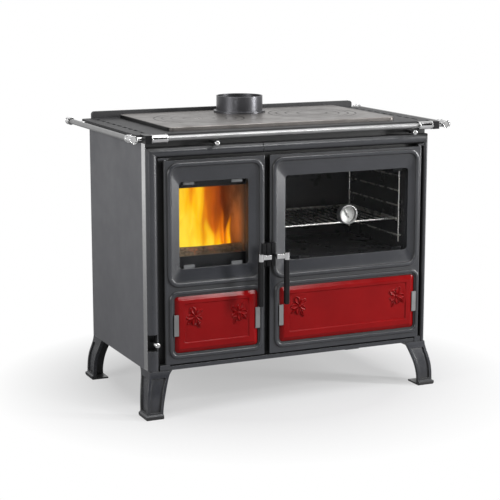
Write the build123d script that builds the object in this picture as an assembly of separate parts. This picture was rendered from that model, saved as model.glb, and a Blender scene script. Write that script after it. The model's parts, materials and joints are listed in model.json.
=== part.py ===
"""Wood-burning cookstove with a firebox door, an oven door, a ring hob and towel rails.

Millimetres, +Z up, the front faces -Y, +X is the viewer's right.
Pieces are drawn with y = 0 at the front edge of the sheet side panels, and every piece is moved by
y_shift when it is saved, so that the origin lies under the middle of the whole stove.
"""
import os
from build123d import *

os.makedirs("parts", exist_ok=True)

# Body
body_half = 468.0
body_depth = 464.0
body_bottom = 138.0
body_top = 818.0
sheet = 2.5
base_sheet = 3.0
ridge_height = 9.0
ridge_width = 10.0

# Cast front
casting_depth = 44.0
frame_thick = 18.0
round_height = 12.0
column_left_width = 34.0
column_right_width = 16.0
moulding_width = 29.0
moulding_lug_gap = 0.5
moulding_split_offset = 12.0
split_gap = 2.0
band_height = 12.0
band_set_back = 4.0

# Doors
door_split = -86.0
door_gap = 18.0
door_low_margin = 17.0
door_high_margin = 56.0
door_set_back = 2.0
door_thick = 12.0
pin_radius = 3.0
running_fit = 0.05
pin_engage = 14.0
lug_thick = 6.5
lug_gap_low = 0.3
lug_gap_high = 2.0
lug_reach = 8.0
hinge_left_gap = 18.0
hinge_right_gap = 6.0
bead_width = 14.0
bead_height = 6.0
bead_corner = 30.0
bead_bottom = 393.0
bead_top_margin = 13.0
bead_hinge_margin = 10.0
firebox_bead_free_margin = 10.0
oven_bead_free_margin = 15.0
window_corner = 10.0
window_low_margin = 45.0
window_high_margin = 53.0
firebox_window_hinge_margin = 44.0
firebox_window_free_margin = 49.0
oven_window_hinge_margin = 38.0
oven_window_free_margin = 55.0
glass_thick = 4.0
glass_lap = 6.0
glass_seat_depth = 8.0
glass_clip_width = 34.0
glass_clip_lap = 10.0
glass_clip_thick = 2.0
glass_clip_foot = 8.0
seal_width = 12.0
seal_gap = 0.4
seal_margin = 16.0

# Red plates
plate_low_margin = 33.0
plate_high_margin = 36.0
firebox_plate_hinge_margin = 25.0
firebox_plate_free_margin = 23.0
oven_plate_hinge_margin = 16.0
oven_plate_free_margin = 34.0
plate_thick = 9.0
plate_pocket = 4.0
plate_margin = 2.0
plate_round = 4.0
plate_corner = 10.0
frame_bead_offset = 6.0
frame_bead_width = 12.0
frame_bead_height = 5.0
plate_clip_height = 64.0
plate_clip_thick = 2.0
plate_clip_over = 5.0
plate_clip_out = 5.5
plate_clip_foot = 3.0

# Handles
handle_z = 463.0
handle_base_width = 12.0
handle_base_depth = 14.0
handle_base_half = 35.0
handle_edge_gap = 0.5
spindle_radius = 4.0
handle_reach = 48.0
handle_arm_length = 27.0
handle_arm_high = 13.0
handle_arm_thick = 8.0
sleeve_radius = 8.5
sleeve_above = 11.0
sleeve_below = 11.0
grip_length = 137.0
grip_width = 16.0
grip_depth = 14.0
grip_round = 4.0
washer_thick = 3.5
washer_gap = 0.5
washer_radius = 7.5
catch_gap = 1.0

# Thermometer
dial_off_middle_x = -6.0
dial_off_middle_z = -1.0
case_radius = 30.0
dial_radius = 26.0
case_depth = 24.0
dial_recess = 14.0
dial_thick = 2.0
stem_radius = 4.0
stem_length = 30.0
needle_pin_radius = 1.2
needle_length = 20.0
needle_tail = 12.0
needle_width = 2.4
needle_thick = 1.0
needle_gap = 1.5
needle_hub_radius = 3.5
needle_angle = -32.0

# Top frame, cooking plate and rings
top_side_over = 27.0
top_front_set_back = 10.0
top_rear_over = 2.0
top_thick = 22.0
top_corner = 14.0
hob_side_margin = 117.0
hob_front_margin = 44.0
hob_rear_margin = 26.0
hob_thick = 12.0
hob_lap = 18.0
hob_corner = 16.0
hob_chamfer = 1.5
slot_length = 34.0
slot_width = 10.0
slot_count = 9
slot_side_margin = 39.0
slot_front_margin = 62.0
slot_rear_margin = 54.0
upstand_side_margin = 33.0
upstand_thick = 14.0
upstand_height = 22.0
upstand_round = 10.0
ring_side_margin = 183.0
ring_forward = 3.0
ring_radii = (115.0, 86.0, 48.0)
engraved_radii = (139.0, 115.0, 86.0, 48.0)
engrave_width = 2.0
engrave_depth = 1.2
seat_width = 8.0
seat_depth = 6.0
ring_gap = 0.4
lifter_length = 26.0
lifter_width = 9.0
lifter_depth = 5.0

# Flue collar
collar_rear_margin = 88.0
collar_radius = 74.0
collar_wall = 3.5
collar_height = 47.0
flange_radius = 83.0
flange_thick = 6.0

# Rails
rail_radius = 8.0
rail_rise = 12.0
front_rail_out = 32.0
front_rail_end_inset = 24.0
ferrule_radius = 12.5
ferrule_length = 50.0
side_rail_out = 21.0
side_rail_front_out = 6.0
side_rail_rear_out = 46.0
cap_radius = 11.0
cap_front_length = 48.0
cap_over = 22.0
cap_rear_length = 28.0
cap_rear_over = 12.0
stub_radius = 6.0
stub_rear_margin = 36.0
stub_inset = 16.0
bracket_width = 20.0
bracket_height = 24.0
bracket_side_margin = 11.0
bracket_front_over = 12.0

# Legs
leg_heights = (1.0, 0.86, 0.65, 0.48, 0.31, 0.15, 0.0)
leg_flare = (0.0, 0.16, 0.58, 0.84, 0.96, 1.0, 1.0)
leg_out = 16.0
leg_forward = 22.0
leg_width = (72.0, 62.0, 58.0, 55.0, 52.0, 50.0, 50.0)
leg_depth = (80.0, 70.0, 66.0, 64.0, 63.0, 62.0, 62.0)
leg_wall = 11.0
leg_plate = 10.0
leg_sole = 5.0
foot_heights = (15.0, 11.0, 4.0, 0.0)
foot_grow = (0.0, 5.5, 5.5, 3.0)
leg_panel_inset = 9.0
leg_panel_depth = 4.0

# Firebox
opening_margin = 6.0
ash_open_side_margin = 52.0
ash_open_middle_margin = 27.0
drawer_open_margin = 1.0
shell_side_margin = 20.0
shell_middle_margin = 10.0
shell_sheet = 4.0
shell_rear_margin = 105.0
shell_top_margin = 86.0
brick_thick = 25.0
brick_low_margin = 7.0
baffle_thick = 12.0
baffle_set_back = 90.0
floor_thick = 15.0
guard_thick = 5.0
log_guard_rise = 37.0
air_strip_drop = 29.0
air_strip_lap = 10.0
grate_side_margin = 55.0
grate_front_margin = 50.0
grate_rear_margin = 40.0
grate_lap = 10.0
grate_thick = 12.0
grate_slot_width = 10.0
grate_slot_count = 6
grate_border = 14.0

# Drawers
drawer_sheet = 2.0
drawer_side_gap = 6.0
drawer_front_gap = 2.0
ash_drawer_rear_margin = 29.0
ash_drawer_height = 110.0
wood_open_middle_margin = 35.0
wood_open_side_margin = 26.0
wood_drawer_rear_margin = 34.0
wood_drawer_height = 150.0

# Oven
oven_open_middle_margin = 47.0
oven_open_side_margin = 40.0
oven_rear_margin = 64.0
oven_sheet = 3.0
oven_margin = 12.0
rack_wire = 2.5
rack_standoff = 8.0
rack_front_margin = 40.0
rack_rear_margin = 30.0
rack_low_margin = 30.0
rack_high_margin = 34.0
rung_count = 5
rung_end_margin = 20.0
shelf_rung = 1
shelf_wire = 3.0
shelf_bar = 2.0
shelf_count = 15
shelf_end_gap = 15.0

# Air controls
knob_radius = 8.0
knob_length = 16.0
rod_radius = 4.0
upper_knob_drop = 9.0
upper_knob_out = 28.0
secondary_hinge_margin = 152.0
throttle_side_margin = 48.0
primary_rise = 87.0
primary_out = 30.0
primary_inset = 17.0
notch_width = 26.0
notch_half = 25.0
notch_floor = 14.0
rod_rear = 60.0
stop_radius = 7.0
stop_length = 4.0
pull_travel = 25.0

# Shares of a width or height that roundings take up, below one half or one so that a flat is left
end_share = 0.45
bead_share = 0.9
rim_share = 0.6

# How far off a plane an edge may lie and still count as in it
plane_slack = 0.01

# Values that follow from the sizes above
frame_face = -frame_thick
door_face = -casting_depth + door_set_back
door_back = door_face + door_thick
door_low = body_bottom + door_low_margin
door_high = body_top - door_high_margin
door_gap_left = door_split - door_gap / 2
door_gap_right = door_split + door_gap / 2
moulding_low = door_high + lug_gap_high + lug_thick + moulding_lug_gap
moulding_high = moulding_low + moulding_width
moulding_split = door_split - moulding_split_offset
band_top = body_bottom + band_height
hinge_y = (door_face + door_back) / 2
hinge_radius = door_thick / 2
left_inner = -body_half + column_left_width
right_inner = body_half - column_right_width
hinge_left_x = left_inner + hinge_left_gap + hinge_radius
hinge_right_x = right_inner - hinge_right_gap - hinge_radius
bead_top = door_high - bead_top_margin
window_low = bead_bottom + window_low_margin
window_high = bead_top - window_high_margin
firebox_bead_left = hinge_left_x + bead_hinge_margin
firebox_bead_right = door_gap_left - firebox_bead_free_margin
oven_bead_left = door_gap_right + oven_bead_free_margin
oven_bead_right = hinge_right_x - bead_hinge_margin
firebox_window_left = hinge_left_x + firebox_window_hinge_margin
firebox_window_right = door_gap_left - firebox_window_free_margin
oven_window_left = door_gap_right + oven_window_free_margin
oven_window_right = hinge_right_x - oven_window_hinge_margin
plate_low = door_low + plate_low_margin
plate_high = bead_bottom - plate_high_margin
firebox_plate_left = hinge_left_x + firebox_plate_hinge_margin
firebox_plate_right = door_gap_left - firebox_plate_free_margin
oven_plate_left = door_gap_right + oven_plate_free_margin
oven_plate_right = hinge_right_x - oven_plate_hinge_margin
handle_base_low = handle_z - handle_base_half
handle_base_high = handle_z + handle_base_half
catch_front = door_face - handle_base_depth
dial_x = (oven_window_left + oven_window_right) / 2 + dial_off_middle_x
dial_z = (window_low + window_high) / 2 + dial_off_middle_z
top_half = body_half + top_side_over
top_front = -casting_depth + top_front_set_back
top_rear = body_depth + top_rear_over
hob_half = top_half - hob_side_margin
hob_front = top_front + hob_front_margin
hob_rear = top_rear - hob_rear_margin
hob_low = body_top + top_thick
hob_top = hob_low + hob_thick
slot_x = top_half - slot_side_margin
slot_first_y = top_front + slot_front_margin
slot_last_y = top_rear - slot_rear_margin
slot_pitch = (slot_last_y - slot_first_y) / (slot_count - 1)
upstand_half = top_half - upstand_side_margin
ring_x = hob_half - ring_side_margin
ring_y = (hob_front + hob_rear) / 2 - ring_forward
collar_y = hob_rear - collar_rear_margin
rail_z = body_top + rail_rise
front_rail_y = top_front - front_rail_out
bracket_outer = top_half - bracket_side_margin
bracket_front = front_rail_y - bracket_front_over
ferrule_outer = bracket_outer - bracket_width
ferrule_inner = ferrule_outer - ferrule_length
front_rail_half = ferrule_outer - front_rail_end_inset
side_rail_x = top_half + side_rail_out
side_rail_front = top_front - side_rail_front_out
side_rail_rear = top_rear + side_rail_rear_out
stub_rear_y = top_rear - stub_rear_margin
opening_low = window_low - opening_margin
opening_high = window_high + opening_margin
firebox_open_left = firebox_window_left - opening_margin
firebox_open_right = firebox_window_right + opening_margin
ash_open_left = left_inner + ash_open_side_margin
ash_open_right = door_gap_left - ash_open_middle_margin
oven_open_left = door_gap_right + oven_open_middle_margin
oven_open_right = right_inner - oven_open_side_margin
wood_open_left = door_gap_right + wood_open_middle_margin
wood_open_right = right_inner - wood_open_side_margin
drawer_open_high = plate_high - drawer_open_margin
shell_left = left_inner + shell_side_margin
shell_right = door_split - shell_middle_margin
shell_rear = body_depth - shell_rear_margin
shell_top = body_top - shell_top_margin
brick_low = bead_bottom + brick_low_margin
brick_high = shell_top - baffle_thick
ash_drawer_rear = shell_rear - ash_drawer_rear_margin
wood_drawer_rear = body_depth - wood_drawer_rear_margin
oven_rear = body_depth - oven_rear_margin
secondary_x = hinge_left_x + secondary_hinge_margin
throttle_x = right_inner - throttle_side_margin
upper_knob_z = body_top - upper_knob_drop
upper_knob_front = -casting_depth - upper_knob_out
primary_z = body_bottom + primary_rise
primary_front = -casting_depth - primary_out
notch_back = -notch_floor
handle_y = door_face - handle_reach
most_front = handle_y - max(sleeve_radius, grip_depth / 2)
most_rear = side_rail_rear - cap_rear_over + cap_rear_length
y_shift = -(most_front + most_rear) / 2


def block(x0, x1, y0, y1, z0, z1):
    """A box between two corners."""
    middle = Pos((x0 + x1) / 2, (y0 + y1) / 2, (z0 + z1) / 2)
    return middle * Box(x1 - x0, y1 - y0, z1 - z0)


def rod_x(x0, x1, y, z, radius):
    """A round bar along X."""
    return Pos((x0 + x1) / 2, y, z) * Rot(0, 90, 0) * Cylinder(radius, x1 - x0)


def rod_y(x, y0, y1, z, radius):
    """A round bar along Y."""
    return Pos(x, (y0 + y1) / 2, z) * Rot(90, 0, 0) * Cylinder(radius, y1 - y0)


def rod_z(x, y, z0, z1, radius):
    """A round bar along Z."""
    return Pos(x, y, (z0 + z1) / 2) * Cylinder(radius, z1 - z0)


def upright(x0, x1, z0, z1, y0, y1, corner):
    """A plate standing in the XZ plane with rounded corners, from y0 back to y1."""
    outline = RectangleRounded(x1 - x0, z1 - z0, corner)
    face = Plane.XZ.offset(-y1) * Pos((x0 + x1) / 2, (z0 + z1) / 2) * outline
    return extrude(face, amount=y1 - y0)


def level(x0, x1, y0, y1, z0, z1, corner):
    """A level plate with rounded corners."""
    outline = RectangleRounded(x1 - x0, y1 - y0, corner)
    face = Plane.XY.offset(z0) * Pos((x0 + x1) / 2, (y0 + y1) / 2) * outline
    return extrude(face, amount=z1 - z0)


def front_edges(solid, y):
    """The edges of a solid that lie in the upright plane at y."""
    return solid.edges().filter_by_position(Axis.Y, y - plane_slack, y + plane_slack)


def level_edges(solid, z):
    """The edges of a solid that lie in the level plane at z."""
    return solid.edges().filter_by_position(Axis.Z, z - plane_slack, z + plane_slack)


def save(name, *solids):
    """Moves the solids of one node into the shared frame and saves them as one file."""
    moved = [Pos(0, y_shift, 0) * solid for whole in solids for solid in whole.solids()]
    export_step(moved[0] if len(moved) == 1 else Compound(children=moved), f"parts/{name}.step")


# Sheet body
side_inner = body_half - sheet
save("side_panel_left", block(-body_half, -side_inner, 0, body_depth, body_bottom, body_top))
save("side_panel_right", block(side_inner, body_half, 0, body_depth, body_bottom, body_top))
rear_inner = body_depth - sheet
save("rear_panel", block(-side_inner, side_inner, rear_inner, body_depth, body_bottom, body_top))

# Base panel with ridges that carry the drawers
base_top = body_bottom + base_sheet
ridge_top = base_top + ridge_height
ash_left = ash_open_left + drawer_side_gap
ash_right = ash_open_right - drawer_side_gap
wood_left = wood_open_left + drawer_side_gap
wood_right = wood_open_right - drawer_side_gap
base_panel = block(-side_inner, side_inner, 0, rear_inner, body_bottom, base_top)
ridge_places = (
    (ash_left, ash_drawer_rear),
    (ash_right - ridge_width, ash_drawer_rear),
    (wood_left, wood_drawer_rear),
    (wood_right - ridge_width, wood_drawer_rear),
)
for ridge_x, ridge_rear in ridge_places:
    base_panel += block(ridge_x, ridge_x + ridge_width, drawer_front_gap, ridge_rear, base_top, ridge_top)
save("base_panel", base_panel)

# Cast front frame with openings for the firebox, the ash drawer, the oven and the wood drawer
front_frame = block(left_inner, right_inner, frame_face, 0, body_bottom, body_top)
for x0, x1, z0, z1 in (
    (firebox_open_left, firebox_open_right, opening_low, opening_high),
    (ash_open_left, ash_open_right, ridge_top, drawer_open_high),
    (oven_open_left, oven_open_right, opening_low, opening_high),
    (wood_open_left, wood_open_right, ridge_top, drawer_open_high),
):
    front_frame -= block(x0, x1, frame_face, 0, z0, z1)
for knob_x in (secondary_x, throttle_x):
    front_frame -= rod_y(knob_x, frame_face, 0, upper_knob_z, rod_radius + running_fit)
save("front_frame", front_frame)

# Half-round columns and mouldings, mitred where they meet
flat_front = -casting_depth + round_height


def half_round_post(x0, x1):
    """The front part of a column: a flat-sided bar with a rounded front, over the full height."""
    middle_x = (x0 + x1) / 2
    flank = Pos(middle_x, (flat_front + frame_face) / 2) * Rectangle(x1 - x0, frame_face - flat_front)
    crown = Pos(middle_x, flat_front) * Ellipse((x1 - x0) / 2, round_height)
    crown -= Pos(middle_x, flat_front + round_height) * Rectangle(x1 - x0, 2 * round_height)
    return extrude(Plane.XY.offset(body_bottom) * (flank + crown), amount=moulding_high - body_bottom)


def half_round_bar(x0, x1):
    """A moulding: the same rounded bar laid level."""
    middle_z = (moulding_low + moulding_high) / 2
    high = moulding_high - moulding_low
    flank = Pos((flat_front + frame_face) / 2, middle_z) * Rectangle(frame_face - flat_front, high)
    crown = Pos(flat_front, middle_z) * Ellipse(round_height, high / 2)
    crown -= Pos(flat_front + round_height, middle_z) * Rectangle(2 * round_height, high)
    return extrude(Plane.YZ.offset(x0) * (flank + crown), amount=x1 - x0)


def mitre(points):
    """A prism in the XZ plane, as deep as the casting, that keeps one side of a mitre."""
    return extrude(Plane.XZ * make_face(Polyline(*points, close=True)), amount=casting_depth + round_height)


left_keep = mitre([
    (-body_half, body_bottom),
    (left_inner, body_bottom),
    (left_inner, moulding_low),
    (-body_half, moulding_high),
])
right_keep = mitre([
    (right_inner, body_bottom),
    (body_half, body_bottom),
    (body_half, moulding_high),
    (right_inner, moulding_low),
])
column_left = half_round_post(-body_half, left_inner) & left_keep
column_left += block(-body_half, left_inner, frame_face, 0, body_bottom, body_top)
column_left -= block(
    -body_half, -body_half + notch_width, -casting_depth, notch_back,
    primary_z - notch_half, primary_z + notch_half,
)
primary_x = -body_half + primary_inset
column_left -= rod_y(primary_x, notch_back, 0, primary_z, rod_radius + running_fit)
save("column_left", column_left)
column_right = half_round_post(right_inner, body_half) & right_keep
column_right += block(right_inner, body_half, frame_face, 0, body_bottom, body_top)
save("column_right", column_right)
save("moulding_left", half_round_bar(-body_half, moulding_split - split_gap / 2) - left_keep)
save("moulding_right", half_round_bar(moulding_split + split_gap / 2, body_half) - right_keep)

# Hinge lugs with their pins, and the bottom band between the lower lugs
lug_front = hinge_y - hinge_radius
hinge_lugs = []
hinge_pins = []
for hinge_x, wall_x, inward in ((hinge_left_x, left_inner, 1), (hinge_right_x, right_inner, -1)):
    lug_end = hinge_x + inward * lug_reach
    lug_x0 = min(wall_x, lug_end)
    lug_x1 = max(wall_x, lug_end)
    low_lug = block(lug_x0, lug_x1, lug_front, frame_face, body_bottom, door_low - lug_gap_low)
    high_z = door_high + lug_gap_high
    high_lug = block(lug_x0, lug_x1, lug_front, frame_face, high_z, high_z + lug_thick)
    low_pin = rod_z(hinge_x, hinge_y, body_bottom, door_low + pin_engage, pin_radius)
    high_pin = rod_z(hinge_x, hinge_y, door_high - pin_engage, high_z + lug_thick, pin_radius)
    hinge_lugs += [low_lug - low_pin, high_lug - high_pin]
    hinge_pins += [low_pin, high_pin]
save("hinge_lugs", *hinge_lugs)
save("hinge_pins", *hinge_pins)
band_front = -casting_depth + band_set_back
save(
    "bottom_band",
    block(hinge_left_x + lug_reach, hinge_right_x - lug_reach, band_front, frame_face, body_bottom, band_top),
)

# Latch catch on the middle of the front frame, in the gap between the doors
save(
    "latch_catch",
    block(
        door_gap_left + 2 * catch_gap, door_gap_right - 2 * catch_gap, catch_front, frame_face,
        handle_base_low, handle_base_high,
    ),
)

# Cast top frame with slots and a rear upstand
top_frame = level(-top_half, top_half, top_front, top_rear, body_top, hob_low, top_corner)
upstand = upright(
    -upstand_half, upstand_half, hob_low - 2 * upstand_round, hob_low + upstand_height,
    top_rear - upstand_thick, top_rear, upstand_round,
)
top_frame += upstand & block(
    -top_half, top_half, top_front, top_rear, hob_low - upstand_round, hob_low + upstand_height
)
top_frame -= block(
    -hob_half + hob_lap, hob_half - hob_lap, hob_front + hob_lap, hob_rear - hob_lap, body_top, hob_low
)
for side in (-1, 1):
    for index in range(slot_count):
        slot_y = slot_first_y + index * slot_pitch
        slot = Pos(side * slot_x, slot_y, (body_top + hob_low) / 2) * Box(slot_width, slot_length, top_thick)
        top_frame -= fillet(slot.edges().filter_by(Axis.Z), slot_width * end_share)
save("top_frame", top_frame)

# Cooking plate with a stepped hole for the lift-off rings, engraved circles and the flue hole
collar_inner = collar_radius - collar_wall
seat_z = hob_top - seat_depth
cooking_plate = level(-hob_half, hob_half, hob_front, hob_rear, hob_low, hob_top, hob_corner)
cooking_plate = chamfer(level_edges(cooking_plate, hob_top), hob_chamfer)
cooking_plate -= rod_z(0, collar_y, hob_low, hob_top, collar_inner)
cooking_plate -= rod_z(-ring_x, ring_y, seat_z, hob_top, ring_radii[0])
cooking_plate -= rod_z(-ring_x, ring_y, hob_low, seat_z, ring_radii[0] - seat_width)


def engraved_circle(x, radius):
    """A shallow groove ring in the top of the plate."""
    outer = rod_z(x, ring_y, hob_top - engrave_depth, hob_top, radius + engrave_width / 2)
    return outer - rod_z(x, ring_y, hob_top - engrave_depth, hob_top, radius - engrave_width / 2)


cooking_plate -= engraved_circle(-ring_x, engraved_radii[0])
for radius in engraved_radii:
    cooking_plate -= engraved_circle(ring_x, radius)
save("cooking_plate", cooking_plate)


def hob_piece(outer_radius, hole_radius):
    """A stepped disc that hangs in the step around it, with a stepped hole for the next piece."""
    piece = rod_z(-ring_x, ring_y, seat_z, hob_top, outer_radius - ring_gap)
    piece += rod_z(-ring_x, ring_y, hob_low, seat_z, outer_radius - seat_width - ring_gap)
    if hole_radius:
        piece -= rod_z(-ring_x, ring_y, seat_z, hob_top, hole_radius)
        piece -= rod_z(-ring_x, ring_y, hob_low, seat_z, hole_radius - seat_width)
    return piece


save("hob_ring_outer", hob_piece(ring_radii[0], ring_radii[1]))
save("hob_ring_inner", hob_piece(ring_radii[1], ring_radii[2]))
hob_disc = hob_piece(ring_radii[2], 0)
lifter = Pos(-ring_x, ring_y, hob_top - lifter_depth / 2) * Box(lifter_length, lifter_width, lifter_depth)
hob_disc -= fillet(lifter.edges().filter_by(Axis.Z), lifter_width * end_share)
save("hob_disc", hob_disc)

# Flue collar
flue_collar = rod_z(0, collar_y, hob_top, hob_top + flange_thick, flange_radius)
flue_collar += rod_z(0, collar_y, hob_top, hob_top + flange_thick + collar_height, collar_radius)
flue_collar -= rod_z(0, collar_y, hob_top, hob_top + flange_thick + collar_height, collar_inner)
save("flue_collar", flue_collar)

# Rails with their caps, stubs and corner brackets
front_rail = rod_x(-front_rail_half, front_rail_half, front_rail_y, rail_z, rail_radius)
rails = [front_rail]
caps = []
brackets = []
cap_front = side_rail_front + cap_over - cap_front_length
cap_rear = side_rail_rear - cap_rear_over
stub_front_y = cap_front + stub_inset
for side in (-1, 1):
    rail_x = side * side_rail_x
    side_rail = rod_y(rail_x, side_rail_front, side_rail_rear, rail_z, rail_radius)
    front_cap = rod_y(rail_x, cap_front, cap_front + cap_front_length, rail_z, cap_radius)
    rear_cap = rod_y(rail_x, cap_rear, most_rear, rail_z, cap_radius)
    ferrule_ends = sorted((side * ferrule_inner, side * ferrule_outer))
    ferrule = rod_x(ferrule_ends[0], ferrule_ends[1], front_rail_y, rail_z, ferrule_radius)
    front_stub_ends = sorted((rail_x, side * bracket_outer))
    front_stub = rod_x(front_stub_ends[0], front_stub_ends[1], stub_front_y, rail_z, stub_radius)
    rear_stub_ends = sorted((rail_x, side * top_half))
    rear_stub = rod_x(rear_stub_ends[0], rear_stub_ends[1], stub_rear_y, rail_z, stub_radius)
    bracket_ends = sorted((side * ferrule_outer, side * bracket_outer))
    bracket = block(
        bracket_ends[0], bracket_ends[1], bracket_front, top_front + top_corner,
        rail_z - bracket_height / 2, rail_z + bracket_height / 2,
    )
    bracket -= level(-top_half, top_half, top_front, top_rear, body_top, hob_low, top_corner)
    bracket -= block(-top_half, top_half, top_front, top_rear, hob_low, hob_top)
    rails.append(side_rail)
    caps += [front_cap - side_rail, rear_cap - side_rail, ferrule - front_rail]
    caps += [front_stub - front_cap - side_rail, rear_stub - side_rail]
    brackets.append(bracket)
save("rails", *rails)
save("rail_caps", *caps)
save("rail_brackets", *brackets)

# Cast legs, flared outward: two walls with recessed panels under a top plate, on a sole with a bead round it
middle_y = (body_depth - casting_depth) / 2


def leg_section(height, x0, x1, y0, y1):
    """One level rectangle of a leg."""
    return Plane.XY.offset(height) * Pos((x0 + x1) / 2, (y0 + y1) / 2) * Rectangle(x1 - x0, y1 - y0)


def front_left_leg():
    """A loft through level rectangles, hollowed from its inner corner between the top plate and the sole, with a
    shallow pocket in each outer face and a bead round the outer sides of the foot."""
    whole = []
    hollow = []
    front_pocket = []
    side_pocket = []
    inset = leg_panel_inset
    for share, flare, width, depth in zip(leg_heights, leg_flare, leg_width, leg_depth):
        x0 = -body_half - leg_out * flare
        x1 = x0 + width
        y0 = -casting_depth - leg_forward * flare
        y1 = y0 + depth
        z = share * body_bottom
        whole.append(leg_section(z, x0, x1, y0, y1))
        hollow_z = min(max(z, leg_sole), body_bottom - leg_plate)
        hollow.append(leg_section(hollow_z, x0 + leg_wall, x0 + 2 * width, y0 + leg_wall, y0 + 2 * depth))
        if 0 < share < 1:
            front_pocket.append(leg_section(z, x0 + inset, x1 - inset, y0 - inset, y0 + leg_panel_depth))
            side_pocket.append(leg_section(z, x0 - inset, x0 + leg_panel_depth, y0 + inset, y1 - inset))
    foot = [leg_section(z, x0 - grow, x1, y0 - grow, y1) for z, grow in zip(foot_heights, foot_grow)]
    leg = loft(whole) - loft(front_pocket) - loft(side_pocket)
    return leg + loft(foot, ruled=True) - loft(hollow)


leg_front_left = front_left_leg()
leg_front_right = mirror(leg_front_left, about=Plane.YZ)
mirror_plane = Plane.XZ.offset(-middle_y)
save("leg_front_left", leg_front_left)
save("leg_front_right", leg_front_right)
save("leg_rear_left", mirror(leg_front_left, about=mirror_plane))
save("leg_rear_right", mirror(leg_front_right, about=mirror_plane))

# Firebox: steel shell, firebricks with a baffle, log guard and air strip at its mouth, floor and grate
shell_in_left = shell_left + shell_sheet
shell_in_right = shell_right - shell_sheet
shell_in_rear = shell_rear - shell_sheet
firebox_shell = block(shell_left, shell_right, 0, shell_rear, base_top, shell_top)
firebox_shell -= block(shell_in_left, shell_in_right, 0, shell_in_rear, base_top, shell_top)
save("firebox_shell", firebox_shell)
brick_rear = shell_in_rear - brick_thick
save(
    "firebox_bricks",
    block(shell_in_left, shell_in_left + brick_thick, 0, brick_rear, brick_low, brick_high),
    block(shell_in_right - brick_thick, shell_in_right, 0, brick_rear, brick_low, brick_high),
    block(shell_in_left, shell_in_right, brick_rear, shell_in_rear, brick_low, brick_high),
    block(shell_in_left, shell_in_right, baffle_set_back, shell_in_rear, brick_high, shell_top),
)
brick_in_left = shell_in_left + brick_thick
brick_in_right = shell_in_right - brick_thick
save(
    "fire_guards",
    block(brick_in_left, brick_in_right, 0, guard_thick, brick_low, opening_low + log_guard_rise),
    block(
        brick_in_left, brick_in_right, 0, guard_thick,
        opening_high - air_strip_drop, opening_high + air_strip_lap,
    ),
)
grate_left = brick_in_left + grate_side_margin
grate_right = brick_in_right - grate_side_margin
grate_front = grate_front_margin
grate_rear = brick_rear - grate_rear_margin
firebox_floor = block(shell_in_left, shell_in_right, 0, shell_in_rear, brick_low - floor_thick, brick_low)
firebox_floor -= block(
    grate_left + grate_lap, grate_right - grate_lap, grate_front + grate_lap, grate_rear - grate_lap,
    brick_low - floor_thick, brick_low,
)
save("firebox_floor", firebox_floor)
fire_grate = block(grate_left, grate_right, grate_front, grate_rear, brick_low, brick_low + grate_thick)
grate_span = grate_right - grate_left - 2 * grate_border - grate_slot_width
for index in range(grate_slot_count):
    slot_left = grate_left + grate_border + grate_span * index / (grate_slot_count - 1)
    fire_grate -= block(
        slot_left, slot_left + grate_slot_width, grate_front + grate_border, grate_rear - grate_border,
        brick_low, brick_low + grate_thick,
    )
save("fire_grate", fire_grate)


def open_box(x0, x1, y0, y1, z0, z1, wall):
    """A sheet box that is open on top."""
    return block(x0, x1, y0, y1, z0, z1) - block(x0 + wall, x1 - wall, y0 + wall, y1 - wall, z0 + wall, z1)


save(
    "ash_drawer",
    open_box(
        ash_left, ash_right, drawer_front_gap, ash_drawer_rear, ridge_top, ridge_top + ash_drawer_height,
        drawer_sheet,
    ),
)
save(
    "wood_drawer",
    open_box(
        wood_left, wood_right, drawer_front_gap, wood_drawer_rear, ridge_top, ridge_top + wood_drawer_height,
        drawer_sheet,
    ),
)

# Oven liner, ladder racks and wire shelf
oven_left = oven_open_left - oven_margin
oven_right = oven_open_right + oven_margin
oven_low = opening_low - oven_margin
oven_high = opening_high + oven_margin
oven_liner = block(oven_left, oven_right, 0, oven_rear, oven_low, oven_high)
oven_in_left = oven_left + oven_sheet
oven_in_right = oven_right - oven_sheet
oven_liner -= block(
    oven_in_left, oven_in_right, 0, oven_rear - oven_sheet, oven_low + oven_sheet, oven_high - oven_sheet
)
save("oven_liner", oven_liner)
rack_front = rack_front_margin
rack_rear = oven_rear - rack_rear_margin
rack_low = oven_low + rack_low_margin
rack_high = oven_high - rack_high_margin
rung_pitch = (rack_high - rack_low - 2 * rung_end_margin) / (rung_count - 1)
rack_levels = [rack_low + rung_end_margin + index * rung_pitch for index in range(rung_count)]
racks = []
for wall_x, inward in ((oven_in_left, 1), (oven_in_right, -1)):
    wire_x = wall_x + inward * rack_standoff
    rack = rod_z(wire_x, rack_front, rack_low, rack_high, rack_wire)
    rack += rod_z(wire_x, rack_rear, rack_low, rack_high, rack_wire)
    for rung in rack_levels:
        rack += rod_y(wire_x, rack_front, rack_rear, rung, rack_wire)
    peg_ends = sorted((wall_x, wire_x))
    for peg_y in (rack_front, rack_rear):
        for peg_z in (rack_levels[0], rack_levels[-1]):
            rack += rod_x(peg_ends[0], peg_ends[1], peg_y, peg_z, rack_wire)
    racks.append(rack)
save("oven_racks", *racks)
shelf_z = rack_levels[shelf_rung] + rack_wire + shelf_wire
shelf_front = rack_front + shelf_end_gap
shelf_rear = rack_rear - shelf_end_gap
shelf_left = oven_in_left + rack_standoff
shelf_right = oven_in_right - rack_standoff
oven_shelf = rod_x(shelf_left, shelf_right, shelf_front, shelf_z, shelf_wire)
oven_shelf += rod_x(shelf_left, shelf_right, shelf_rear, shelf_z, shelf_wire)
oven_shelf += rod_y(shelf_left, shelf_front, shelf_rear, shelf_z, shelf_wire)
oven_shelf += rod_y(shelf_right, shelf_front, shelf_rear, shelf_z, shelf_wire)
for corner_x in (shelf_left, shelf_right):
    for corner_y in (shelf_front, shelf_rear):
        oven_shelf += Pos(corner_x, corner_y, shelf_z) * Sphere(shelf_wire)
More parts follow.
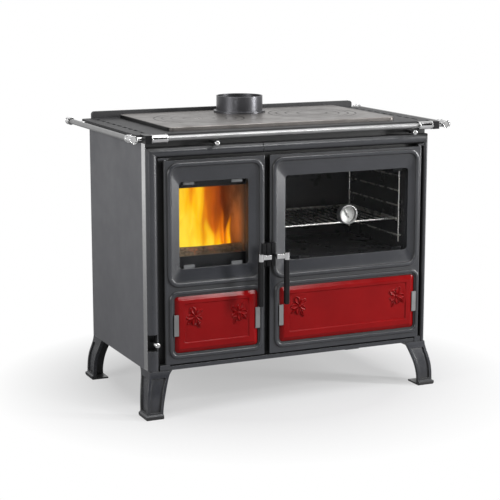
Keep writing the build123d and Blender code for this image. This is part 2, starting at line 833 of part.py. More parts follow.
for index in range(1, shelf_count + 1):
    bar_x = shelf_left + (shelf_right - shelf_left) * index / (shelf_count + 1)
    oven_shelf += rod_y(bar_x, shelf_front, shelf_rear, shelf_z, shelf_bar)
save("oven_shelf", oven_shelf)


def bead_ring(x0, x1, z0, z1, width, height, corner):
    """A rounded bead that runs round a rectangle, standing on the door's face."""
    half = width / 2
    front = door_face - height
    ring = upright(x0 - half, x1 + half, z0 - half, z1 + half, front, door_face, corner + half)
    ring -= upright(x0 + half, x1 - half, z0 + half, z1 - half, front, door_face, corner - half)
    return fillet(front_edges(ring, front), min(height, half) * bead_share)


def make_door(name, hinge_x, free_x, window, bead, red, hole):
    """Saves the pieces of one door: frame, glass, glass clips, seal, red plate, plate clips and handle.

    window, bead and red are pairs of left and right edges.
    """
    window_left, window_right = window
    bead_left, bead_right = bead
    red_left, red_right = red
    inward = 1 if free_x > hinge_x else -1
    body_ends = sorted((hinge_x, free_x))
    frame = block(body_ends[0], body_ends[1], door_face, door_back, door_low, door_high)
    frame += rod_z(hinge_x, hinge_y, door_low, door_high, hinge_radius)
    frame += bead_ring(bead_left, bead_right, bead_bottom, bead_top, bead_width, bead_height, bead_corner)
    red_frame = frame_bead_offset + frame_bead_width / 2
    frame += bead_ring(
        red_left - red_frame, red_right + red_frame, plate_low - red_frame, plate_high + red_frame,
        frame_bead_width, frame_bead_height, plate_corner + red_frame,
    )
    half_bead = bead_width / 2
    dish_front = Plane.XZ.offset(-door_face) * Pos((bead_left + bead_right) / 2, (bead_bottom + bead_top) / 2)
    dish_front *= RectangleRounded(
        bead_right - bead_left - bead_width, bead_top - bead_bottom - bead_width, bead_corner - half_bead
    )
    dish_back = Plane.XZ.offset(-door_face - glass_seat_depth)
    dish_back *= Pos((window_left + window_right) / 2, (window_low + window_high) / 2)
    dish_back *= RectangleRounded(window_right - window_left, window_high - window_low, window_corner)
    frame -= loft([dish_front, dish_back])
    frame -= upright(window_left, window_right, window_low, window_high, door_face, door_back, window_corner)
    frame -= upright(
        red_left - plate_margin, red_right + plate_margin,
        plate_low - plate_margin, plate_high + plate_margin,
        door_face, door_face + plate_pocket, plate_corner + plate_margin,
    )
    bore = pin_radius + running_fit
    frame -= rod_z(hinge_x, hinge_y, door_low, door_low + pin_engage + lug_gap_high, bore)
    frame -= rod_z(hinge_x, hinge_y, door_high - pin_engage - lug_gap_high, door_high, bore)
    pivot_x = free_x - inward * (handle_edge_gap + handle_base_width / 2)
    frame -= rod_y(pivot_x, door_face - bead_height, door_back, handle_z, spindle_radius + running_fit)
    save(f"{name}_door_frame", frame)

    glass_left = window_left - glass_lap
    glass_right = window_right + glass_lap
    glass_low = window_low - glass_lap
    glass_high = window_high + glass_lap
    glass = block(glass_left, glass_right, door_back, door_back + glass_thick, glass_low, glass_high)
    if hole:
        glass -= rod_y(dial_x, door_back, door_back + glass_thick, dial_z, stem_radius)
    save(f"{name}_glass", glass)
    glass_rear = door_back + glass_thick
    clips = []
    for clip_x in (window_left + glass_clip_width, window_right - glass_clip_width):
        x0 = clip_x - glass_clip_width / 2
        x1 = clip_x + glass_clip_width / 2
        for edge, out in ((glass_low, -1), (glass_high, 1)):
            span = sorted((edge - out * (glass_lap + glass_clip_lap), edge + out * glass_clip_foot))
            foot = sorted((edge, edge + out * glass_clip_foot))
            clip = block(x0, x1, glass_rear, glass_rear + glass_clip_thick, span[0], span[1])
            clip += block(x0, x1, door_back, glass_rear, foot[0], foot[1])
            clips.append(clip)
    save(f"{name}_glass_clips", *clips)

    seal_rear = frame_face - seal_gap
    x0 = glass_left - seal_margin
    x1 = glass_right + seal_margin
    z0 = glass_low - seal_margin
    z1 = glass_high + seal_margin
    seal = upright(x0 - seal_width / 2, x1 + seal_width / 2, z0 - seal_width / 2, z1 + seal_width / 2,
                   door_back, seal_rear, seal_width)
    seal -= upright(x0 + seal_width / 2, x1 - seal_width / 2, z0 + seal_width / 2, z1 - seal_width / 2,
                    door_back, seal_rear, seal_width / 2)
    save(f"{name}_seal", seal)

    pocket_back = door_face + plate_pocket
    red_front = pocket_back - plate_thick
    red = upright(red_left, red_right, plate_low, plate_high, red_front, pocket_back, plate_corner)
    red = fillet(front_edges(red, red_front), plate_round * bead_share)
    save(f"{name}_red_plate", red)
    middle = (plate_low + plate_high) / 2
    plate_clips = []
    for edge, out in ((red_left, -1), (red_right, 1)):
        span = sorted((edge - out * (plate_round + plate_clip_over), edge + out * plate_clip_out))
        foot = sorted((edge + out * (plate_clip_out - plate_clip_foot), edge + out * plate_clip_out))
        low = middle - plate_clip_height / 2
        high = middle + plate_clip_height / 2
        clip = block(span[0], span[1], red_front - plate_clip_thick, red_front, low, high)
        clip += block(foot[0], foot[1], red_front, door_face, low, high)
        plate_clips.append(clip)
    save(f"{name}_plate_clips", *plate_clips)

    base_front = door_face - handle_base_depth
    base_outer = free_x - inward * handle_edge_gap
    base_ends = sorted((base_outer, base_outer - inward * handle_base_width))
    base = block(base_ends[0], base_ends[1], base_front, door_face, handle_base_low, handle_base_high)
    base -= rod_y(pivot_x, base_front, door_face, handle_z, spindle_radius + running_fit)
    save(f"{name}_handle_base", base - frame)

    arm_x = pivot_x - inward * handle_arm_length
    washer_front = door_back + washer_gap
    washer_rear = washer_front + washer_thick
    arm = rod_y(pivot_x, handle_y, washer_rear, handle_z, spindle_radius)
    arm += rod_y(pivot_x, washer_front, washer_rear, handle_z, washer_radius)
    arm_ends = sorted((pivot_x + inward * handle_arm_high / 2, arm_x))
    half_thick = handle_arm_thick / 2
    half_high = handle_arm_high / 2
    arm += block(
        arm_ends[0], arm_ends[1], handle_y - half_thick, handle_y + half_thick,
        handle_z - half_high, handle_z + half_high,
    )
    sleeve_low = handle_z - sleeve_below
    arm += rod_z(arm_x, handle_y, sleeve_low, handle_z + sleeve_above, sleeve_radius)
    save(f"{name}_handle_arm", arm)
    grip_low = sleeve_low - grip_length
    grip = level(
        arm_x - grip_width / 2, arm_x + grip_width / 2, handle_y - grip_depth / 2, handle_y + grip_depth / 2,
        grip_low, sleeve_low, grip_round,
    )
    grip = fillet(level_edges(grip, grip_low), grip_round * bead_share)
    save(f"{name}_handle_grip", grip)


make_door(
    "firebox", hinge_left_x, door_gap_left, (firebox_window_left, firebox_window_right),
    (firebox_bead_left, firebox_bead_right), (firebox_plate_left, firebox_plate_right), False,
)
make_door(
    "oven", hinge_right_x, door_gap_right, (oven_window_left, oven_window_right),
    (oven_bead_left, oven_bead_right), (oven_plate_left, oven_plate_right), True,
)

# Thermometer in the oven door's glass
case_front = door_back - case_depth
dial_front = case_front + dial_recess
case = rod_y(dial_x, case_front, door_back, dial_z, case_radius)
case = fillet(front_edges(case, case_front), (case_radius - dial_radius) * rim_share)
case -= rod_y(dial_x, case_front, dial_front + dial_thick, dial_z, dial_radius)
case += rod_y(dial_x, door_back, door_back + stem_length, dial_z, stem_radius)
save("thermometer_case", case)
needle_rear = dial_front - needle_gap
dial = rod_y(dial_x, dial_front, dial_front + dial_thick, dial_z, dial_radius)
dial += rod_y(dial_x, needle_rear - 2 * needle_thick, dial_front, dial_z, needle_pin_radius)
save("thermometer_dial", dial)
pointer = block(
    -needle_width / 2, needle_width / 2, needle_rear - needle_thick, needle_rear, -needle_tail, needle_length
)
needle = Pos(dial_x, 0, dial_z) * Rot(0, needle_angle, 0) * pointer
needle += rod_y(dial_x, needle_rear - needle_thick, needle_rear, dial_z, needle_hub_radius)
needle -= rod_y(dial_x, needle_rear - needle_thick, needle_rear, dial_z, needle_pin_radius + running_fit)
save("thermometer_needle", needle)


def pull_knob(name, x, z, front):
    """A turned knob on a rod that runs through the casting, with a stop disc inside."""
    knob = rod_y(x, front, front + knob_length, z, knob_radius)
    knob = fillet(front_edges(knob, front), knob_radius * rim_share)
    knob += rod_y(x, front + knob_length, rod_rear, z, rod_radius)
    stop_front = pull_travel + stop_length
    knob += rod_y(x, stop_front, stop_front + stop_length, z, stop_radius)
    save(name, knob)


pull_knob("secondary_air_knob", secondary_x, upper_knob_z, upper_knob_front)
pull_knob("throttle_knob", throttle_x, upper_knob_z, upper_knob_front)
pull_knob("primary_air_knob", primary_x, primary_z, primary_front)
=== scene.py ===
"""Looks of the wood cookstove: finishes, enamel relief, rope seals, fire, small trim, lights and camera.

Metres, +Z up, the front faces -Y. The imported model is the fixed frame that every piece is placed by.
"""
import json
import math

import bmesh
import bpy
import numpy as np
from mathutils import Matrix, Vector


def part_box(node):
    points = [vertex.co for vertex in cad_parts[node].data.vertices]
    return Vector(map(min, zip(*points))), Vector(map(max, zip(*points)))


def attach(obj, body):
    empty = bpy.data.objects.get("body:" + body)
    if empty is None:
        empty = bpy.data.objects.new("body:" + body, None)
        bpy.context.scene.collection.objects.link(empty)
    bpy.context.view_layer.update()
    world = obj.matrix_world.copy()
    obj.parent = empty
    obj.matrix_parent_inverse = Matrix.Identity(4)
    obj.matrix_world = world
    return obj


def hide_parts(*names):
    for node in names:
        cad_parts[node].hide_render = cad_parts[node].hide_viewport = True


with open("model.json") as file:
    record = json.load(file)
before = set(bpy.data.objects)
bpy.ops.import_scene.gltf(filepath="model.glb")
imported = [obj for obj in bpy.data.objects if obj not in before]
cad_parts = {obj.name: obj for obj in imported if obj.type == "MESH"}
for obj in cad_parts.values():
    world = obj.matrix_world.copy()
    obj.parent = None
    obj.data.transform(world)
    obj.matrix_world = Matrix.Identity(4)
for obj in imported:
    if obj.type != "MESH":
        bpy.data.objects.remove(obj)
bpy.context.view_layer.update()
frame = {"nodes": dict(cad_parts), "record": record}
mm = 0.001
white = (1.0, 1.0, 1.0, 1.0)


# Finishes

# The range that most of a noise pattern lies in
noise_low = 0.3
noise_high = 0.7


class Finish:
    """A node material under construction. Patterns follow Object coordinates, which are the stove's own."""

    def __init__(self, name):
        self.material = bpy.data.materials.new(name)
        self.material.use_nodes = True
        self.tree = self.material.node_tree
        self.tree.nodes.clear()
        self.place = self.add("ShaderNodeTexCoord").outputs["Object"]

    def add(self, kind, **inputs):
        """Makes a node. A value that is a socket is linked, and any other value is set on the input."""
        node = self.tree.nodes.new(kind)
        for name, value in inputs.items():
            self.put(node.inputs[name.replace("_", " ")], value)
        return node

    def put(self, target, value):
        """Links a socket to an input, or sets the input's value."""
        if isinstance(value, bpy.types.NodeSocket):
            self.tree.links.new(value, target)
        else:
            target.default_value = value

    def noise(self, scale, detail=4.0, rough=0.55, stretch=None):
        """Fractal noise from 0 to 1 with a number of lumps a metre, stretched by a factor per axis."""
        place = self.place
        if stretch:
            place = self.add("ShaderNodeMapping", Vector=place, Scale=stretch).outputs["Vector"]
        node = self.add("ShaderNodeTexNoise", Vector=place, Scale=scale, Detail=detail, Roughness=rough)
        return node.outputs["Fac"]

    def cells(self, scale):
        """Distance, in cell widths, to the nearest border between cells, with a number of cells a metre."""
        node = self.add("ShaderNodeTexVoronoi", Vector=self.place, Scale=scale)
        node.feature = "DISTANCE_TO_EDGE"
        return node.outputs["Distance"]

    def axis(self, name):
        """One Object coordinate in metres: X, Y or Z."""
        return self.add("ShaderNodeSeparateXYZ", Vector=self.place).outputs[name]

    def own(self, name):
        """A value that the piece carries at its own points."""
        node = self.add("ShaderNodeAttribute")
        node.attribute_name = name
        return node.outputs["Fac"]

    def span(self, value, low, high, new_low=0.0, new_high=1.0):
        """Carries the range from low to high over to new_low to new_high, held at both ends."""
        node = self.add("ShaderNodeMapRange", Value=value, From_Min=low, From_Max=high,
                        To_Min=new_low, To_Max=new_high)
        return node.outputs["Result"]

    def vary(self, noise, low, high):
        """Carries the usual range of noise over to low to high."""
        return self.span(noise, noise_low, noise_high, low, high)

    def sums(self, kind, first, second=0.0):
        """One sum: MULTIPLY, ADD, SUBTRACT, MAXIMUM or POWER on two values, or ABSOLUTE on the first."""
        node = self.add("ShaderNodeMath")
        node.operation = kind
        self.put(node.inputs[0], first)
        self.put(node.inputs[1], second)
        return node.outputs["Value"]

    def ramp(self, value, *stops):
        """Colours blended along a value, each stop a position and a linear colour."""
        node = self.add("ShaderNodeValToRGB", Fac=value)
        marks = node.color_ramp.elements
        while len(marks) < len(stops):
            marks.new(0.5)
        for mark, (position, colour) in zip(marks, stops):
            mark.position = position
            mark.color = (*colour, 1.0)
        return node.outputs["Color"]

    def tint(self, noise, first, second):
        """Two colours blended over the usual range of noise."""
        return self.ramp(noise, (noise_low, first), (noise_high, second))

    def mix(self, factor, first, second):
        """Two colours mixed by a factor. The node's colour sockets are found by number, as names repeat."""
        node = self.add("ShaderNodeMix")
        node.data_type = "RGBA"
        for index, value in ((0, factor), (6, first), (7, second)):
            if isinstance(value, tuple):
                value = (*value, 1.0)
            self.put(node.inputs[index], value)
        return node.outputs[2]

    def edges(self, radius):
        """The normal with sharp edges rounded over a radius."""
        node = self.add("ShaderNodeBevel", Radius=radius)
        node.samples = 6
        return node.outputs["Normal"]

    def worn(self, rounded):
        """How far the rounded normal leaves the flat one: 0 on faces, up to 1 on edges."""
        flat = self.add("ShaderNodeNewGeometry").outputs["True Normal"]
        node = self.add("ShaderNodeVectorMath")
        node.operation = "DOT_PRODUCT"
        self.put(node.inputs[0], rounded)
        self.put(node.inputs[1], flat)
        return self.span(node.outputs["Value"], 1.0, 0.75)

    def facing_aside(self):
        """1 on upright faces that face left or right, falling to 0 on all others."""
        flat = self.add("ShaderNodeNewGeometry").outputs["True Normal"]
        aside = self.add("ShaderNodeSeparateXYZ", Vector=flat).outputs["X"]
        return self.span(self.sums("ABSOLUTE", aside), 0.5, 0.8)

    def openness(self, reach):
        """How open a place is to what is within a reach: 1 on open faces, falling to 0 in grooves."""
        node = self.add("ShaderNodeAmbientOcclusion", Distance=reach)
        node.samples = 8
        return node.outputs["AO"]

    def bump(self, height, strength, distance, normal=None):
        """Relief from a height value."""
        node = self.add("ShaderNodeBump", Height=height, Strength=strength, Distance=distance)
        if normal:
            self.put(node.inputs["Normal"], normal)
        return node.outputs["Normal"]

    def surface(self, **inputs):
        """Ends the material in one shader with the given inputs."""
        shader = self.add("ShaderNodeBsdfPrincipled", **inputs)
        return self.end(shader.outputs["BSDF"])

    def blend(self, factor, first, second):
        """Ends the material in two shaders mixed by a factor."""
        node = self.add("ShaderNodeMixShader", Fac=factor)
        self.put(node.inputs[1], first)
        self.put(node.inputs[2], second)
        return self.end(node.outputs["Shader"])

    def end(self, shader):
        """Connects a shader to the material's surface and returns the material."""
        output = self.add("ShaderNodeOutputMaterial")
        self.tree.links.new(shader, output.inputs["Surface"])
        return self.material


def panel_paint():
    """Smooth anthracite stove paint on sheet: faint orange peel and slow variation in gloss."""
    f = Finish("panel_paint")
    tone = f.tint(f.noise(6.0), (0.074, 0.075, 0.081), (0.086, 0.087, 0.093))
    gloss = f.vary(f.noise(18.0), 0.44, 0.54)
    peel = f.bump(f.noise(700.0, 2.0), 0.06, 0.6 * mm, f.edges(1.2 * mm))
    return f.surface(Base_Color=tone, Roughness=gloss, Normal=peel, Specular_IOR_Level=0.2)


def cast_black():
    """Satin black paint on cast iron: sand-cast grain, edges worn a little grey, and painted shade that
    darkens and dulls the grooves.
    """
    f = Finish("cast_black")
    rounded = f.edges(1.8 * mm)
    grain = f.noise(420.0, 5.0, 0.6)
    tone = f.tint(f.noise(9.0), (0.015, 0.016, 0.019), (0.021, 0.022, 0.026))
    worn = f.sums("MULTIPLY", f.worn(rounded), f.span(f.noise(60.0), 0.45, 0.75, 0.0, 0.45))
    tone = f.mix(worn, tone, (0.20, 0.20, 0.205))
    # Painted shade: the paint darkens towards black in grooves and recesses, where less light reaches, and
    # grows rougher there.
    groove_shade = f.span(f.openness(45 * mm), 0.55, 0.97, 0.95, 0.0)
    tone = f.mix(groove_shade, tone, (0.001, 0.001, 0.001))
    gloss = f.sums("ADD", f.vary(grain, 0.22, 0.28), f.span(groove_shade, 0.0, 1.0, 0.0, 0.35))
    relief = f.bump(grain, 0.12, 0.8 * mm, rounded)
    return f.surface(Base_Color=tone, Roughness=gloss, Normal=relief, Specular_IOR_Level=0.52)


def frame_black():
    """Matte black heat paint on the cast top frame: the same casting grain with a dull, dusty gloss."""
    f = Finish("frame_black")
    grain = f.noise(420.0, 5.0, 0.6)
    tone = f.tint(f.noise(11.0), (0.022, 0.022, 0.023), (0.032, 0.032, 0.033))
    gloss = f.vary(grain, 0.50, 0.60)
    relief = f.bump(grain, 0.20, 0.8 * mm, f.edges(1.8 * mm))
    return f.surface(Base_Color=tone, Roughness=gloss, Normal=relief, Specular_IOR_Level=0.20)


def collar_paint():
    """Graphite paint on the flue collar: a satin metal sheen that shows a lamp as a broad soft stripe."""
    f = Finish("collar_paint")
    grain = f.noise(300.0, 4.0, 0.6)
    tone = f.tint(f.noise(12.0), (0.058, 0.058, 0.063), (0.070, 0.070, 0.075))
    gloss = f.vary(grain, 0.32, 0.37)
    relief = f.bump(grain, 0.08, 0.6 * mm, f.edges(1.2 * mm))
    return f.surface(Base_Color=tone, Metallic=0.8, Roughness=gloss, Normal=relief)


def grate_iron():
    """Bare cast iron that has been through fires: rough scale, and faint rust tints in patches."""
    f = Finish("grate_iron")
    scale = f.noise(160.0, 6.0, 0.65)
    tone = f.ramp(f.noise(35.0, 5.0), (0.30, (0.007, 0.007, 0.008)), (0.60, (0.014, 0.013, 0.013)),
                  (0.80, (0.034, 0.026, 0.021)))
    gloss = f.vary(scale, 0.62, 0.85)
    relief = f.bump(scale, 0.5, 1.2 * mm, f.edges(1.2 * mm))
    return f.surface(Base_Color=tone, Roughness=gloss, Normal=relief, Specular_IOR_Level=0.15)


# Radii of the narrow circles round each ring place of the hob
ring_circles = (48 * mm, 86 * mm, 115 * mm, 139 * mm)


def ground_iron():
    """Ground and oiled cast iron: fine lines along the grinding direction, darker oil stains, soot in the
    narrow circles round both ring places, and unground black on the left and right sides."""
    f = Finish("ground_iron")
    disc_low, disc_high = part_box("hob_disc")
    aside = f.sums("ADD", f.sums("ABSOLUTE", f.axis("X")), (disc_low.x + disc_high.x) / 2)
    inward = f.sums("SUBTRACT", f.axis("Y"), (disc_low.y + disc_high.y) / 2)
    squares = f.sums("ADD", f.sums("MULTIPLY", aside, aside), f.sums("MULTIPLY", inward, inward))
    reach = f.sums("POWER", squares, 0.5)
    soot = f.span(reach, 100 * mm, 160 * mm, 0.12, 0.0)
    for radius in ring_circles:
        off = f.sums("ABSOLUTE", f.sums("SUBTRACT", reach, radius))
        soot = f.sums("MAXIMUM", soot, f.span(off, 1.2 * mm, 4.0 * mm, 0.9, 0.0))
    lines = f.noise(420.0, 3.0, 0.6, stretch=(0.04, 1.0, 1.0))
    stains = f.noise(14.0, 5.0, 0.6)
    tone = f.ramp(stains, (0.30, (0.092, 0.084, 0.079)), (0.60, (0.150, 0.139, 0.132)))
    tone = f.mix(f.span(lines, 0.40, 0.75, 0.0, 0.35), tone, (0.21, 0.20, 0.19))
    rounded = f.edges(1.5 * mm)
    # Edges lightened towards pale grey: partly wear, and partly a painted highlight along them.
    tone = f.mix(f.span(f.worn(rounded), 0.2, 1.0, 0.0, 0.6), tone, (0.55, 0.55, 0.55))
    tone = f.mix(soot, tone, (0.022, 0.018, 0.016))
    tone = f.mix(f.facing_aside(), tone, (0.012, 0.012, 0.012))
    gloss = f.sums("ADD", f.vary(lines, 0.30, 0.38), f.vary(stains, 0.10, 0.0))
    relief = f.bump(lines, 0.10, 0.4 * mm, rounded)
    return f.surface(Base_Color=tone, Metallic=0.85, Roughness=gloss, Normal=relief)


def stainless():
    """Brushed stainless steel: fine streaks along X and Y that vary the gloss."""
    f = Finish("stainless")
    streaks = f.noise(700.0, 3.0, 0.6, stretch=(0.03, 0.03, 1.0))
    tone = f.tint(f.noise(25.0), (0.20, 0.20, 0.20), (0.25, 0.25, 0.25))
    gloss = f.vary(streaks, 0.32, 0.40)
    relief = f.bump(streaks, 0.01, 0.2 * mm, f.edges(0.6 * mm))
    return f.surface(Base_Color=tone, Metallic=1.0, Roughness=gloss, Normal=relief)


def chrome():
    """Polished chrome with faint handling marks."""
    f = Finish("chrome")
    marks = f.noise(90.0, 5.0, 0.6)
    tone = f.tint(marks, (0.44, 0.44, 0.44), (0.52, 0.52, 0.52))
    gloss = f.span(marks, 0.35, 0.75, 0.06, 0.16)
    return f.surface(Base_Color=tone, Metallic=1.0, Roughness=gloss, Normal=f.edges(0.6 * mm))


def oven_wire():
    """Bright wire of the oven's racks and shelf: satin nickel, a little browned by heat."""
    f = Finish("oven_wire")
    heat = f.noise(30.0)
    tone = f.ramp(heat, (0.35, (0.62, 0.61, 0.59)), (0.70, (0.50, 0.46, 0.40)))
    return f.surface(Base_Color=tone, Metallic=0.8, Roughness=f.vary(heat, 0.22, 0.34))


def zinc_plate():
    """Dull zinc plating on small spring clips: a mid grey with a faint cloudy bloom."""
    f = Finish("zinc_plate")
    bloom = f.noise(220.0)
    tone = f.tint(bloom, (0.11, 0.11, 0.11), (0.19, 0.19, 0.19))
    return f.surface(Base_Color=tone, Metallic=0.25, Roughness=f.vary(bloom, 0.42, 0.55))


def sheet_steel():
    """Matte black heat paint on sheet steel, slightly dusty."""
    f = Finish("sheet_steel")
    dust = f.noise(30.0, 5.0)
    tone = f.ramp(dust, (0.35, (0.030, 0.030, 0.031)), (0.75, (0.060, 0.058, 0.056)))
    relief = f.bump(f.noise(500.0, 2.0), 0.08, 0.6 * mm, f.edges(1.0 * mm))
    return f.surface(Base_Color=tone, Roughness=f.vary(dust, 0.52, 0.68), Normal=relief)


def oven_enamel():
    """Gloss near-black oven enamel with a slow drift in tone, dulled in patches by use."""
    f = Finish("oven_enamel")
    tone = f.tint(f.noise(14.0), (0.009, 0.009, 0.010), (0.015, 0.014, 0.014))
    gloss = f.vary(f.noise(20.0), 0.24, 0.36)
    return f.surface(Base_Color=tone, Roughness=gloss, Normal=f.edges(2.0 * mm), Specular_IOR_Level=0.3)


def firebrick():
    """Fireclay brick: gritty tan with soot that thickens towards the firebox's top, and near-black towards
    its mouth.
    """
    f = Finish("firebrick")
    low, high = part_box("firebox_bricks")
    grit = f.noise(140.0, 6.0, 0.65)
    clay = f.ramp(grit, (0.30, (0.25, 0.145, 0.065)), (0.70, (0.37, 0.225, 0.11)))
    height = f.span(f.axis("Z"), low.z, high.z)
    soot = f.span(f.sums("ADD", height, f.vary(f.noise(11.0), -0.35, 0.35)), 0.45, 1.1, 0.0, 0.85)
    mouth = f.span(f.axis("Y"), low.y + 35 * mm, low.y + 85 * mm, 0.96, 0.0)
    tone = f.mix(f.sums("MAXIMUM", soot, mouth), clay, (0.022, 0.016, 0.012))
    relief = f.bump(grit, 0.55, 1.8 * mm, f.edges(2.0 * mm))
    return f.surface(Base_Color=tone, Roughness=0.9, Normal=relief)


def end_in_glass(f, film, colour, index):
    """Ends a finish in glass with a film's roughness; light goes straight through it to what is behind."""
    glass = f.add("ShaderNodeBsdfPrincipled", Base_Color=colour, Roughness=film, IOR=index,
                  Transmission_Weight=1.0)
    clear = f.add("ShaderNodeBsdfTransparent", Color=colour)
    path = f.add("ShaderNodeLightPath")
    lets_light = f.sums("MAXIMUM", path.outputs["Is Shadow Ray"], path.outputs["Is Diffuse Ray"])
    return f.blend(lets_light, glass.outputs["BSDF"], clear.outputs["BSDF"])


def window_glass():
    """Clear heat-proof glass with a faint film."""
    f = Finish("window_glass")
    film = f.span(f.noise(22.0), 0.35, 0.75, 0.0, 0.035)
    return end_in_glass(f, film, (0.95, 0.96, 0.97, 1.0), 1.12)


def lens_glass():
    """Thin clear lens over the thermometer's dial."""
    f = Finish("lens_glass")
    film = f.span(f.noise(150.0), 0.4, 0.8, 0.0, 0.05)
    return end_in_glass(f, film, white, 1.10)


def red_enamel():
    """Gloss red vitreous enamel over casting: slow colour drift and slight waviness."""
    f = Finish("red_enamel")
    tone = f.tint(f.noise(10.0, 3.0), (0.134, 0.0026, 0.0032), (0.162, 0.0034, 0.0040))
    gloss = f.vary(f.noise(40.0), 0.14, 0.20)
    relief = f.bump(f.noise(90.0, 2.0), 0.04, 0.8 * mm)
    return f.surface(Base_Color=tone, Roughness=gloss, Normal=relief, Specular_IOR_Level=0.09)


def black_grip():
    """Matte black heat-proof moulding with a fine spark-eroded grain."""
    f = Finish("black_grip")
    grain = f.noise(900.0, 3.0)
    tone = f.tint(f.noise(30.0), (0.0045, 0.0045, 0.005), (0.007, 0.007, 0.0075))
    gloss = f.vary(grain, 0.30, 0.38)
    relief = f.bump(grain, 0.15, 0.4 * mm, f.edges(1.0 * mm))
    return f.surface(Base_Color=tone, Roughness=gloss, Normal=relief, Specular_IOR_Level=0.14)


def seal_rope():
    """Glass-fibre rope: grey yarn with fuzz, and painted shade between the strands."""
    f = Finish("seal_rope")
    yarn = f.noise(900.0, 3.0, 0.6)
    # Painted shade: the yarn's colour darkens where the strands dip, between them.
    tone = f.ramp(f.own("strand"), (0.0, (0.030, 0.029, 0.028)), (1.0, (0.115, 0.112, 0.106)))
    tone = f.mix(f.span(yarn, 0.45, 0.75, 0.0, 0.5), tone, (0.20, 0.19, 0.18))
    relief = f.bump(yarn, 0.4, 0.6 * mm)
    return f.surface(Base_Color=tone, Roughness=0.92, Normal=relief, Sheen_Weight=0.3)


def dial_white():
    """Printed white dial with faint yellowing."""
    f = Finish("dial_white")
    tone = f.tint(f.noise(60.0), (0.60, 0.60, 0.58), (0.67, 0.67, 0.655))
    return f.surface(Base_Color=tone, Roughness=f.vary(f.noise(300.0), 0.36, 0.46))


def needle_black():
    """Satin black enamel on a stamped needle and on the printed marks."""
    f = Finish("needle_black")
    tone = f.tint(f.noise(200.0), (0.012, 0.012, 0.014), (0.022, 0.022, 0.024))
    return f.surface(Base_Color=tone, Roughness=f.vary(f.noise(400.0), 0.40, 0.50))


def burning_wood():
    """Charred split wood: brown fibre, black char cracked into blocks, and a glow in the deepest cracks."""
    f = Finish("burning_wood")
    fibre = f.noise(90.0, 5.0, 0.6, stretch=(0.12, 1.0, 1.0))
    cracks = f.span(f.cells(85.0), 0.0, 0.09, 1.0, 0.0)
    tone = f.ramp(fibre, (0.30, (0.055, 0.036, 0.018)), (0.55, (0.130, 0.085, 0.042)),
                  (0.75, (0.210, 0.145, 0.078)))
    tone = f.mix(cracks, tone, (0.010, 0.006, 0.004))
    glow = f.sums("MULTIPLY", cracks, f.span(f.noise(26.0), 0.56, 0.76, 0.0, 0.7))
    relief = f.bump(f.sums("SUBTRACT", fibre, cracks), 0.8, 3.0 * mm)
    return f.surface(Base_Color=tone, Roughness=0.88, Normal=relief, Emission_Strength=glow,
                     Emission_Color=(1.0, 0.18, 0.015, 1.0))


def ember_glow():
    """Embers: dark ash-grey lumps with orange heat between them."""
    f = Finish("ember_glow")
    gaps = f.span(f.cells(75.0), 0.0, 0.20, 1.0, 0.0)
    heat = f.sums("MULTIPLY", gaps, f.span(f.noise(16.0), 0.30, 0.65, 0.15, 1.0))
    ash = f.ramp(f.noise(120.0, 5.0), (0.35, (0.040, 0.034, 0.030)), (0.70, (0.200, 0.180, 0.165)))
    fire = f.ramp(heat, (0.15, (0.35, 0.02, 0.0)), (0.55, (1.0, 0.22, 0.015)), (0.95, (1.0, 0.62, 0.12)))
    relief = f.bump(f.sums("MULTIPLY", gaps, -1.0), 0.8, 4.0 * mm)
    return f.surface(Base_Color=ash, Roughness=0.95, Normal=relief, Emission_Color=fire,
                     Emission_Strength=f.sums("MULTIPLY", heat, 3.0))


def flame_glow():
    """Flame: light only. It is yellow and dense low in a tongue, orange and thin towards its tip and sides.

    The piece's own 'rise' runs from 0 at the base to 1 at the tip, 'across' from 0 in the middle to 1 at
    the sides, and 'fuel' is the tongue's own heat. Noise stretched along Z gives the streaks.
    """
    f = Finish("flame_glow")
    rise = f.own("rise")
    across = f.own("across")
    streaks = f.noise(26.0, stretch=(1.0, 1.0, 0.16))
    heat = f.sums("SUBTRACT", f.own("fuel"), f.span(rise, 0.0, 1.0, 0.0, 0.40))
    heat = f.sums("ADD", heat, f.vary(streaks, -0.28, 0.28))
    heat = f.sums("SUBTRACT", heat, f.span(across, 0.4, 1.0, 0.0, 0.25))
    colour = f.ramp(heat, (0.05, (0.16, 0.020, 0.002)), (0.28, (0.44, 0.072, 0.003)),
                    (0.52, (0.95, 0.230, 0.004)), (0.78, (1.0, 0.52, 0.006)), (1.0, (1.0, 0.70, 0.045)))
    soft_side = f.span(across, 0.25, 0.98, 1.0, 0.0)
    soft_tip = f.span(rise, 0.50, 1.0, 1.0, 0.0)
    soft = f.sums("MULTIPLY", soft_side, soft_tip)
    thick = f.sums("MULTIPLY", soft, f.span(heat, 0.0, 0.45, 0.60, 0.95))
    light = f.add("ShaderNodeEmission", Color=colour, Strength=1.1)
    clear = f.add("ShaderNodeBsdfTransparent")
    return f.blend(thick, clear.outputs["BSDF"], light.outputs["Emission"])


finishes = {make.__name__: make() for make in (
    panel_paint, cast_black, frame_black, collar_paint, grate_iron, ground_iron, stainless, chrome,
    oven_wire, zinc_plate, sheet_steel, oven_enamel, firebrick, window_glass, red_enamel, black_grip,
    seal_rope, dial_white, needle_black, burning_wood, ember_glow, flame_glow, lens_glass,
)}
# Nodes whose finish differs from that of their material slot
own_finish = {
    "oven_racks": "oven_wire", "oven_shelf": "oven_wire", "top_frame": "frame_black",
    "flue_collar": "collar_paint", "rail_brackets": "black_grip", "firebox_glass_clips": "zinc_plate",
    "oven_glass_clips": "black_grip", "fire_guards": "black_grip", "thermometer_case": "stainless",
}
for row in frame["record"]["subparts"]:
    mesh = frame["nodes"][row["node"]].data
    mesh.materials.clear()
    mesh.materials.append(finishes[own_finish.get(row["node"], row["material_slot"])])


# Making pieces

